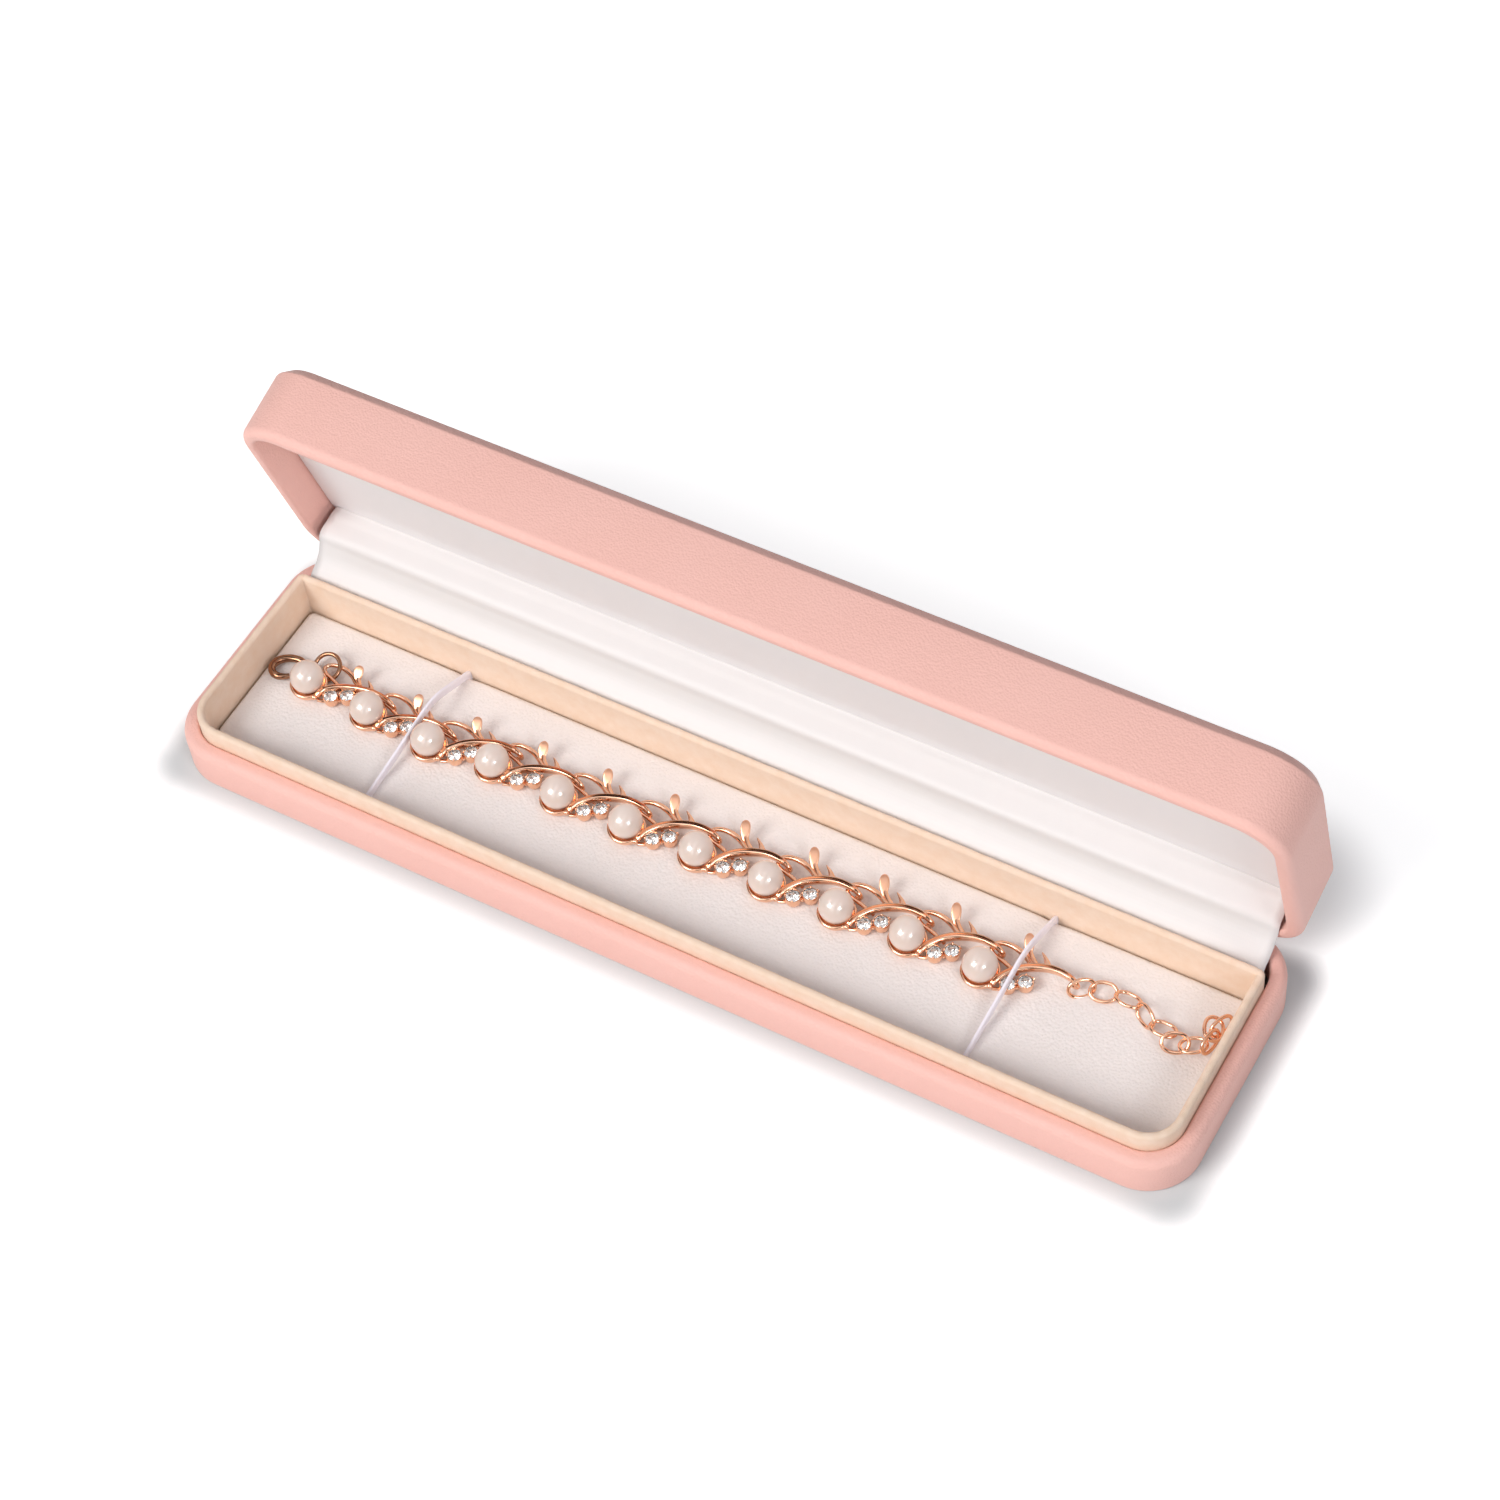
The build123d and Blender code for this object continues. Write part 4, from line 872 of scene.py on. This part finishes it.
def one_link():
    """One link about its pearl, in four groups: shallow cup, bead and stone seats; arching grooved stem with
    its hook, stalk and thorn; the leaf; and the eye."""
    bowl = [(0.5, 0.0), (1.9, 0.03), (2.95, 0.38), (3.62, 1.1), (3.9, 2.05), (3.8, 2.36), (3.45, 2.36),
            (3.05, 1.5), (2.3, 0.8), (1.5, 0.42), (0.5, 0.4)]
    bowl = smooth_path([(r, 0, z) for r, z in bowl], 40)[:, ::2]
    parts = [turned(bowl, 44), ball(0.6, (3.15, -2.25, 2.05), 16, 10)]
    rail = smooth_path([(3.4, -1.9, 0.9), (4.6, -1.2, 0.55), (6.05, -0.35, 0.5), (8.7, 1.6, 0.55),
                        (9.6, 3.6, 1.2)], 24)
    parts.append(carried(rail, oval_section(0.4, 0.35, 10)))
    for x, y in CRYSTAL_PLACES:
        seat = [(0.6, 0.0), (1.1, 0.06), (1.42, 0.4), (1.6, 1.0), (1.68, 1.7), (1.66, 2.2), (1.58, 2.4),
                (1.47, 2.4), (1.44, 2.25), (1.0, 1.3), (0.5, 1.0)]
        parts.append(turned(seat, 24, (x, y, 0)))
        for turn in (20, 110, 200, 290):
            spot = (x + 1.46 * np.cos(np.radians(turn)), y + 1.46 * np.sin(np.radians(turn)), 2.5)
            parts.append(ball(0.26, spot, 10, 6))
    stem = smooth_path([(3.5, -1.75, 2.3), (3.8, -0.85, 2.7), (4.5, 0.7, 2.9), (6.2, 2.9, 2.95),
                        (8.6, 4.6, 3.0), (11.5, 5.75, 3.05), (14.0, 6.05, 3.0), (16.2, 5.85, 2.8),
                        (17.2, 5.6, 2.4)], 72)
    # The stem's section: a rounded oblong with a groove along its top and a deep, narrowed underside
    turns = np.linspace(0, 2 * np.pi, 22, endpoint=False)
    wide = 0.74 * np.sign(np.cos(turns)) * np.abs(np.cos(turns)) ** 0.8
    high = 0.66 * np.sign(np.sin(turns)) * np.abs(np.sin(turns)) ** 0.8
    high = np.where(high > 0, high - 0.42 * np.exp(-((wide + 0.16) / 0.17) ** 2), high * 2.3)
    wide = wide * np.interp(high, [-1.5, -0.4, 0.7], [0.55, 0.85, 1.0])
    # It swells towards the middle of its length as the 0.7 power of a sine
    along = np.linspace(0, 1, 72) * 0.95 + 0.02
    swell = 0.6 + 0.44 * np.sin(np.pi * np.clip(along, 0, 1)) ** 0.7
    hook = smooth_path([(16.4, 5.8, 2.75), (17.4, 5.55, 2.3), (17.9, 5.45, 1.5), (17.5, 5.5, 0.75),
                        (16.6, 5.7, 0.5)], 22)
    stalk = smooth_path([(9.9, 5.1, 2.7), (8.8, 5.9, 2.4), (7.5, 7.0, 2.2), (6.4, 8.2, 2.3)], 18)
    thorn = smooth_path([(11.7, 5.6, 2.7), (11.1, 6.5, 2.65), (10.2, 7.5, 2.7), (8.9, 8.5, 2.9)], 20)
    upper = join(carried(stem, np.stack([wide, high], -1), swell),
                 carried(hook, oval_section(0.45, 0.45, 12), np.linspace(1.3, 0.75, 22), up=(0, 1, 0)),
                 carried(stalk, oval_section(0.6, 0.5, 12), np.linspace(1.0, 0.8, 18)),
                 carried(thorn, oval_section(0.85, 0.55, 12), np.linspace(1.0, 0.05, 20) ** 0.7))
    leaf = leaf_shape(2.5, 1.2, 0.4, 113, 27, (6.0, 8.8, 2.7))
    eye = smooth_path([(9.6, 4.9, 2.7), (8.0, 5.7, 2.1), (5.9, 7.1, 1.6), (3.6, 7.95, 1.45),
                       (1.3, 8.0, 1.4), (-0.3, 7.2, 1.4), (-0.6, 5.9, 1.35), (0.5, 4.9, 1.3), (2.6, 4.3, 1.3),
                       (4.8, 3.5, 1.35), (6.6, 2.7, 1.7)], 66)
    eye = carried(eye, oval_section(0.42, 0.4, 12),
                  np.interp(np.linspace(0, 1, 66), [0, 0.3, 0.55, 1], [1.35, 1.4, 1.05, 1.0]))
    return join(*parts), upper, leaf, eye


def leant(shape, share):
    """Shape leant towards the pearls: what lies behind them comes forward by about a quarter of its distance
    times the share, and slides along the row by a little less."""
    points = shape[0].copy()
    behind = np.maximum(points[:, 1], 0)
    points[:, 0] += 0.22 * share * behind
    points[:, 1] -= 0.24 * share * behind
    return points, shape[1]


def cut_stone():
    """Round brilliant: flat table, crown of kites and triangles, thin girdle and a pointed back."""
    radius, table, crown, half_girdle, depth = 1.42, 0.8, 0.5, 0.04, 1.1
    wide = np.radians(np.arange(16) * 22.5)
    eight = np.radians(np.arange(8) * 45.0 + 22.5)
    points = np.concatenate([
        np.stack([table * np.cos(eight), table * np.sin(eight), np.full(8, crown)], -1),
        np.stack([radius * np.cos(wide), radius * np.sin(wide), np.full(16, half_girdle)], -1),
        np.stack([radius * np.cos(wide), radius * np.sin(wide), np.full(16, -half_girdle)], -1),
        np.array([[0.0, 0.0, -depth]])])
    eighth = np.arange(8)
    here, beside = np.arange(16), (np.arange(16) + 1) % 16
    upper, lower, point = 8, 24, 40
    table_face = eighth[None, :]
    kite = np.stack([eighth, upper + (2 * eighth) % 16, upper + (2 * eighth + 1) % 16,
                     upper + (2 * eighth + 2) % 16], -1)
    star = np.stack([eighth, upper + (2 * eighth + 2) % 16, (eighth + 1) % 8], -1)
    girdle = np.stack([upper + beside, upper + here, lower + here, lower + beside], -1)
    back = np.stack([lower + beside, lower + here, np.full(16, point)], -1)
    return points, [table_face, kite, star, girdle, back]


def link_headings():
    """Heading of each link in degrees: towards the next pearl, and the last as the one before it."""
    step = np.diff(LINK_PLACES, axis=0)
    heading = np.degrees(np.arctan2(step[:, 1], step[:, 0]))
    return np.append(heading, heading[-1])


class CASE_OT_links(bpy.types.Operator):
    """Eleven rose gold links, each hooked through the eye of the next"""
    bl_idname = "gift_case.links"
    bl_label = "Bracelet Links"

    def execute(self, context):
        front, upper, leaf, eye = one_link()
        shares = np.clip(1 - np.arange(len(LINK_PLACES)) / 6.5, 0, 1)
        stands = list(zip(LINK_PLACES, link_headings(), shares))
        row = [moved(join(front, leant(upper, share), leant(eye, share * 0.5)), turn, (x, y, LINK_BASE))
               for (x, y), turn, share in stands]
        leaves = [moved(leant(leaf, share), turn, (x, y, LINK_BASE)) for (x, y), turn, share in stands]
        polished, satin = (sum(len(rows) for rows in join(*part)[1]) for part in (row, leaves))
        write_mesh("rose_gold_links", join(*row, *leaves), [finish_for("rose"), finish_for("satin_rose")],
                   "base", "bracelet_links", sharp=50, finish_rows=np.repeat([0, 1], [polished, satin]))
        return {"FINISHED"}


class CASE_OT_pearls(bpy.types.Operator):
    """Eleven ivory pearls in their cups"""
    bl_idname = "gift_case.pearls"
    bl_label = "Pearls"

    def execute(self, context):
        row = [ball(PEARL_RADIUS, (x, y, LINK_BASE + PEARL_RISE), 48, 28) for x, y in LINK_PLACES]
        write_mesh("ivory_pearls", join(*row), [finish_for("pearl")], "base", "bracelet_pearls", sharp=180)
        return {"FINISHED"}


class CASE_OT_crystals(bpy.types.Operator):
    """Twenty-two cut stones, foiled at the back"""
    bl_idname = "gift_case.crystals"
    bl_label = "Cut Stones"

    def execute(self, context):
        stone = cut_stone()
        row = []
        for (x, y), turn in zip(LINK_PLACES, link_headings()):
            heading = np.radians(turn)
            for number, (dx, dy) in enumerate(CRYSTAL_PLACES):
                place = (x + dx * np.cos(heading) - dy * np.sin(heading),
                         y + dx * np.sin(heading) + dy * np.cos(heading), LINK_BASE + CRYSTAL_GIRDLE)
                row.append(moved(stone, turn + 13 * number, place))
        shape = join(*row)
        # Each stone is five groups of faces, the last of them its foiled back
        foiled = np.concatenate([np.full(len(rows), 1 if group % 5 == 4 else 0)
                                 for group, rows in enumerate(shape[1])])
        write_mesh("cut_stones", shape, [finish_for("crystal"), finish_for("foil")], "base",
                   "bracelet_crystals", sharp=1, finish_rows=foiled)
        return {"FINISHED"}


class CASE_OT_ring(bpy.types.Operator):
    """Jump ring between the first link and the clasp"""
    bl_idname = "gift_case.jump_ring"
    bl_label = "Jump Ring"

    def execute(self, context):
        turns = np.linspace(0, 2 * np.pi, 64, endpoint=False)
        path = np.stack([RING_RADIUS * np.cos(turns), RING_RADIUS * np.sin(turns), turns * 0], -1)
        wire = carried(path, oval_section(RING_WIRE, RING_WIRE, 14), closed=True)
        shape = moved(wire, 0, RING_CENTRE, RING_TILT)
        write_mesh("round_jump_ring", shape, [finish_for("bronze")], "base", "clasp_jump_ring")
        return {"FINISHED"}


def clasp_line(start, end, count):
    """Middle line of the clasp between two angles in degrees: an oval, its height less where the cosine is
    high."""
    turns = np.radians(np.linspace(start, end, count))
    x = np.cos(turns)
    long = np.where(x < 0, CLASP_BACK, CLASP_PIN)
    return np.stack([long * x, CLASP_RISE * np.sin(turns) * (1 - 0.24 * x), turns * 0], -1)


class CASE_OT_clasp(bpy.types.Operator):
    """Lobster clasp: oval hook, neck, eye, cheeks and pin"""
    bl_idname = "gift_case.clasp"
    bl_label = "Clasp Body"

    def execute(self, context):
        hook_scale = np.interp(np.linspace(0, 1, 60), [0, 0.12, 0.5, 0.85, 1], [0.85, 1.0, 1.12, 1.0, 0.7])
        hook = carried(clasp_line(12, 268, 60), oval_section(0.74, 0.76, 18, 0.9), hook_scale)
        cheeks = [turned([(0.3, z), (0.62, z), (0.68, z + 0.06), (0.68, z + 0.2), (0.62, z + 0.26),
                          (0.3, z + 0.26)], 24, (CLASP_PIN, 0, 0)) for z in (0.5, -0.76)]
        pin = turned([(0.1, -0.8), (0.22, -0.76), (0.22, 0.76), (0.1, 0.8)], 16, (CLASP_PIN, 0, 0))
        neck = carried(smooth_path([(3.3, 0, 0), (3.9, -0.25, 0.02), (4.5, -0.7, 0.1)], 12),
                       oval_section(0.5, 0.6, 14, 0.8), np.linspace(1.1, 0.7, 12))
        turns = np.linspace(0, 2 * np.pi, 36, endpoint=False)
        eye = np.stack([5.1 + 0.85 * np.cos(turns), turns * 0 - 0.95, 0.25 + 0.85 * np.sin(turns)], -1)
        eye = carried(eye, oval_section(0.23, 0.23, 12), up=(0, 1, 0), closed=True)
        shape = moved(join(hook, *cheeks, pin, neck, eye), CLASP_TURN, CLASP_CENTRE)
        write_mesh("lobster_clasp_body", shape, [finish_for("bronze")], "base", "clasp_body")
        return {"FINISHED"}


class CASE_OT_trigger(bpy.types.Operator):
    """Sprung trigger that closes the clasp"""
    bl_idname = "gift_case.clasp_trigger"
    bl_label = "Clasp Trigger"

    def execute(self, context):
        gate = carried(clasp_line(-8, -86, 30), oval_section(0.52, 0.39, 14, 0.7),
                       np.linspace(0.95, 0.85, 30))
        eye = turned([(0.26, -0.4), (0.56, -0.4), (0.57, 0.4), (0.26, 0.4), (0.26, -0.4)], 24,
                     (CLASP_PIN, 0, 0))
        knob = ball(0.52, (2.15, -2.62, 0), 16, 10)
        shape = moved(join(gate, eye, knob), CLASP_TURN, CLASP_CENTRE)
        write_mesh("lobster_clasp_trigger", shape, [finish_for("bronze")], "clasp_trigger", "clasp_trigger")
        return {"FINISHED"}


class CASE_OT_chain(bpy.types.Operator):
    """Ten oval links of extension chain, each through the one before"""
    bl_idname = "gift_case.chain"
    bl_label = "Extension Chain"

    def execute(self, context):
        turns = np.linspace(0, 2 * np.pi, 56, endpoint=False)
        long = 2.1 * np.cos(turns) + 0.5 * np.tanh(2 * np.cos(turns))
        oval = np.stack([long, 1.85 * np.sin(turns), turns * 0], -1)
        link = carried(oval, oval_section(0.38, 0.36, 12), closed=True)
        row = [moved(link, heading, (x, y, LINK_BASE + rise), roll)
               for x, y, rise, heading, roll in CHAIN_PLACES]
        write_mesh("oval_chain", join(*row), [finish_for("rose")], "base", "extension_chain")
        return {"FINISHED"}


class CASE_OT_inner_parts(bpy.types.Operator):
    """Finishes for the boards, foam, paper and hinge parts that stay as built"""
    bl_idname = "gift_case.inner_parts"
    bl_label = "Inner Parts"

    kept = {
        "greyboard": ("base_shell", "lid_shell", "lid_panel_board", "collar_board", "pad_board"),
        "paper": ("underside_sheet",),
        "foam": ("lid_foam",),
        "steel": ("hinge_base_leaf_left", "hinge_base_leaf_right", "hinge_lid_leaf_left",
                  "hinge_lid_leaf_right", "hinge_pin_left", "hinge_pin_right", "hinge_snap_spring_left",
                  "hinge_snap_spring_right", "hinge_base_rivets", "hinge_lid_rivets"),
    }

    def execute(self, context):
        for word, names in self.kept.items():
            for name in names:
                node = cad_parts.get(name)
                if node is None:
                    raise RuntimeError("no node called " + name)
                node.data.materials.clear()
                node.data.materials.append(finish_for(word))
        return {"FINISHED"}


class CASE_OT_stage(bpy.types.Operator):
    """Pale floor, soft lamps and the camera of the picture"""
    bl_idname = "gift_case.stage"
    bl_label = "Stage"

    def execute(self, context):
        scene = context.scene
        corners = FLOOR_REACH * np.array([(-1.0, -1.0, 0), (1.0, -1.0, 0), (1.0, 1.0, 0), (-1.0, 1.0, 0)])
        floor = write_mesh("floor", (corners, [np.array([[0, 1, 2, 3]])]), [floor_finish()], None,
                           closed=False)
        world = scene.world or bpy.data.worlds.new("studio")
        scene.world = world
        world.use_nodes = True
        tree = world.node_tree
        tree.nodes.clear()
        # The room: pale overhead and in front, a dark band above the horizon, most of all behind
        generated = add_node(tree, "ShaderNodeTexCoord").outputs["Generated"]
        way = add_node(tree, "ShaderNodeSeparateXYZ", inputs={"Vector": generated})
        height = add_node(tree, "ShaderNodeMapRange", {"interpolation_type": "SMOOTHSTEP"}, {
            "Value": way.outputs["Z"], "From Min": 0.12, "From Max": 0.55, "To Min": 0.0, "To Max": 1.0})
        facing = add_node(tree, "ShaderNodeMapRange", inputs={
            "Value": way.outputs["Y"], "From Min": -0.7, "From Max": 0.7, "To Min": 1.15, "To Max": 0.3})
        level = add_node(tree, "ShaderNodeMapRange", inputs={
            "Value": height.outputs["Result"], "From Min": 0.0, "From Max": 1.0, "To Min": 0.12,
            "To Max": 0.56})
        strength = add_node(tree, "ShaderNodeMath", {"operation": "MULTIPLY"},
                            {0: level.outputs["Result"], 1: facing.outputs["Result"]})
        # Dark gaps between the pale upright screens, which draw the thin dark lines in polished metal
        turn = add_node(tree, "ShaderNodeMath", {"operation": "MULTIPLY_ADD"},
                        {0: way.outputs["X"], 1: 11.0, 2: 1.0})
        wave = add_node(tree, "ShaderNodeMath", {"operation": "SINE"}, {0: turn.outputs["Value"]})
        screens = add_node(tree, "ShaderNodeMapRange", {"interpolation_type": "SMOOTHSTEP"}, {
            "Value": wave.outputs["Value"], "From Min": -0.5, "From Max": 0.1, "To Min": 0.06, "To Max": 1.5})
        gapped = add_node(tree, "ShaderNodeMath", {"operation": "MULTIPLY"},
                          {0: strength.outputs["Value"], 1: screens.outputs["Result"]})
        # In a mirror the screens overhead are as bright as the pale room behind the camera
        path = add_node(tree, "ShaderNodeLightPath")
        lift = add_node(tree, "ShaderNodeMath", {"operation": "MULTIPLY_ADD"},
                        {0: path.outputs["Is Glossy Ray"], 1: 0.9, 2: 1.0})
        lifted = add_node(tree, "ShaderNodeMath", {"operation": "MULTIPLY"},
                          {0: gapped.outputs["Value"], 1: lift.outputs["Value"]})
        low = add_node(tree, "ShaderNodeMath", {"operation": "LESS_THAN"}, {0: way.outputs["Z"], 1: 0.02})
        seen = seen_directly(tree, low.outputs["Value"])
        room = add_node(tree, "ShaderNodeBackground", inputs={
            "Color": colour("#F8F9FF"), "Strength": lifted.outputs["Value"]})
        white = add_node(tree, "ShaderNodeBackground", inputs={
            "Color": (1.0, 1.0, 1.0, 1.0), "Strength": 1.0})
        both = add_node(tree, "ShaderNodeMixShader", inputs={
            "Fac": seen, 1: room.outputs["Background"], 2: white.outputs["Background"]})
        output = add_node(tree, "ShaderNodeOutputWorld")
        tree.links.new(both.outputs["Shader"], output.inputs["Surface"])
        lamp("front softbox", (-1.02, -2.03, 2.04), 1.5, sizes().key_light, "#FFFCF9")
        lamp("right softbox", (2.20, -1.20, 1.68), 0.9, sizes().key_light * 0.38, "#FCFCFF")
        camera_data = bpy.data.cameras.new("picture camera")
        camera = bpy.data.objects.new("picture camera", camera_data)
        scene.collection.objects.link(camera)
        camera_data.lens = CAMERA_LENS
        camera_data.sensor_width = 36.0
        camera_data.clip_start = 0.01
        axes = np.array([CAMERA_RIGHT, CAMERA_UP, CAMERA_BACK]).T
        place = Matrix(axes.tolist()).to_4x4()
        place.translation = CAMERA_PLACE
        camera.matrix_world = place
        scene.camera = camera
        scene.view_settings.view_transform = "Standard"
        return {"FINISHED"}


def seen_directly(tree, mirrored=1.0):
    """One where a ray comes from the camera, a mirror or glass; zero where it only lights a surface. In a
    mirror the share that mirrored gives is seen."""
    path = add_node(tree, "ShaderNodeLightPath")
    glossy = add_node(tree, "ShaderNodeMath", {"operation": "MULTIPLY"},
                      {0: path.outputs["Is Glossy Ray"], 1: mirrored})
    first = add_node(tree, "ShaderNodeMath", {"operation": "MAXIMUM"},
                     {0: path.outputs["Is Camera Ray"], 1: glossy.outputs["Value"]})
    second = add_node(tree, "ShaderNodeMath", {"operation": "MAXIMUM"},
                      {0: first.outputs["Value"], 1: path.outputs["Is Transmission Ray"]})
    return second.outputs["Value"]


def floor_finish():
    """Matt white floor that the camera sees a little brighter than it lights, so that only the shadow shows;
    beside the case its tone is painted darker and cooler as a contact shadow."""
    finish, tree, output, place = new_finish("matt_white_floor")
    where = place.outputs["Object"]
    tone = tuple(bpy.context.scene.gift_case_colours.floor) + (1.0,)
    # Further from the lid's right end, where the shadow falls, the floor is seen brighter
    spread = add_node(tree, "ShaderNodeMapping", inputs={
        "Vector": where, "Location": SHADOW_SHIFT, "Scale": (1.0, 1.0, 0.0)})
    away = add_node(tree, "ShaderNodeVectorMath", {"operation": "LENGTH"}, {0: spread.outputs["Vector"]})
    bright = add_node(tree, "ShaderNodeMapRange", {"interpolation_type": "SMOOTHSTEP"}, {
        "Value": away.outputs["Value"], "From Min": 0.008, "From Max": 0.024, "To Min": SHADOW_GLOW,
        "To Max": OPEN_GLOW})
    # Close to the case's four sides it is not raised, so that the contact shadow stays, and its tone is
    # painted a little cooler and darker, a painted contact shadow that also hides the pink bounce. The
    # distance is that of the point, folded into one quarter, from the corner of the footprint
    folded = add_node(tree, "ShaderNodeVectorMath", {"operation": "ABSOLUTE"}, {0: where})
    outside = add_node(tree, "ShaderNodeVectorMath", {"operation": "SUBTRACT"},
                       {0: folded.outputs["Vector"], 1: FOOTPRINT_CORNER})
    clear = add_node(tree, "ShaderNodeVectorMath", {"operation": "MAXIMUM"}, {0: outside.outputs["Vector"]})
    gap = add_node(tree, "ShaderNodeVectorMath", {"operation": "LENGTH"}, {0: clear.outputs["Vector"]})
    close = add_node(tree, "ShaderNodeMapRange", {"interpolation_type": "SMOOTHSTEP"}, {
        "Value": gap.outputs["Value"], "From Min": 0.003, "From Max": 0.012, "To Min": CONTACT_GLOW,
        "To Max": OPEN_GLOW})
    # Painted contact shadow: the floor's tone goes from the darker, cooler tone at the case to its own
    # further out
    share = add_node(tree, "ShaderNodeMapRange", {"interpolation_type": "SMOOTHSTEP"}, {
        "Value": gap.outputs["Value"], "From Min": 0.002, "From Max": 0.01, "To Min": 0.0, "To Max": 1.0})
    shade = add_node(tree, "ShaderNodeMix", {"data_type": "RGBA"}, {
        "Factor": share.outputs["Result"], "A": tuple(np.array(tone) * PAINTED_CONTACT_SHADE), "B": tone})
    least = add_node(tree, "ShaderNodeMath", {"operation": "MINIMUM"},
                     {0: bright.outputs["Result"], 1: close.outputs["Result"]})
    glow = add_node(tree, "ShaderNodeMath", {"operation": "MULTIPLY"},
                    {0: seen_directly(tree), 1: least.outputs["Value"]})
    body = add_node(tree, "ShaderNodeBsdfPrincipled", inputs={
        "Base Color": shade.outputs["Result"], "Roughness": 1.0, "Specular IOR Level": 0.0,
        "Emission Color": (1.0, 1.0, 1.0, 1.0), "Emission Strength": glow.outputs["Value"]})
    tree.links.new(body.outputs["BSDF"], output.inputs["Surface"])
    return finish


def lamp(name, place, size, power, text):
    """Square softbox at a place in metres, turned to face the middle of the stage."""
    data = bpy.data.lights.new(name, "AREA")
    data.shape = "SQUARE"
    data.size = size
    data.energy = power
    data.color = colour(text)[:3]
    light = bpy.data.objects.new(name, data)
    bpy.context.scene.collection.objects.link(light)
    back = np.array(place) / np.linalg.norm(place)
    right = np.cross((0.0, 0.0, 1.0), back)
    right = right / np.linalg.norm(right)
    light.matrix_world = Matrix(np.array([right, np.cross(back, right), back]).T.tolist()).to_4x4()
    light.location = place


class CASE_PT_panel(bpy.types.Panel):
    """Sizes, the floor's colour and one button for each piece"""
    bl_idname = "CASE_PT_panel"
    bl_label = "Bracelet Case"
    bl_space_type = "VIEW_3D"
    bl_region_type = "UI"
    bl_category = "Bracelet Case"

    def draw(self, context):
        layout = self.layout
        for name in ("rim_round", "pad_crown", "band_width", "fold_depth", "pile_depth", "key_light"):
            layout.prop(context.scene.gift_case_sizes, name)
        layout.prop(context.scene.gift_case_colours, "floor")
        for operator in OPERATORS:
            layout.operator(operator.bl_idname)


OPERATORS = (
    CASE_OT_base_wrap, CASE_OT_lid_wrap, CASE_OT_lid_panel, CASE_OT_collar, CASE_OT_pad, CASE_OT_bands,
    CASE_OT_hinge_cloth, CASE_OT_links, CASE_OT_pearls, CASE_OT_crystals, CASE_OT_ring, CASE_OT_clasp,
    CASE_OT_trigger, CASE_OT_chain, CASE_OT_inner_parts, CASE_OT_stage)
CLASSES = (GiftCaseSizes, GiftCaseColours) + OPERATORS + (CASE_PT_panel,)


def register():
    """Registers every class and puts the settings on the scene."""
    for kind in CLASSES:
        bpy.utils.register_class(kind)
    bpy.types.Scene.gift_case_sizes = bpy.props.PointerProperty(type=GiftCaseSizes)
    bpy.types.Scene.gift_case_colours = bpy.props.PointerProperty(type=GiftCaseColours)


def unregister():
    """Takes the settings off the scene and the classes away, the last first."""
    del bpy.types.Scene.gift_case_colours
    del bpy.types.Scene.gift_case_sizes
    for kind in reversed(CLASSES):
        bpy.utils.unregister_class(kind)


def main():
    """Registers the classes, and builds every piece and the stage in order."""
    register()
    bpy.ops.gift_case.base_wrap()
    bpy.ops.gift_case.lid_wrap()
    bpy.ops.gift_case.lid_panel()
    bpy.ops.gift_case.collar()
    bpy.ops.gift_case.pad()
    bpy.ops.gift_case.bands()
    bpy.ops.gift_case.hinge_cloth()
    bpy.ops.gift_case.links()
    bpy.ops.gift_case.pearls()
    bpy.ops.gift_case.crystals()
    bpy.ops.gift_case.jump_ring()
    bpy.ops.gift_case.clasp()
    bpy.ops.gift_case.clasp_trigger()
    bpy.ops.gift_case.chain()
    bpy.ops.gift_case.inner_parts()
    bpy.ops.gift_case.stage()


if __name__ == "__main__":
    main()
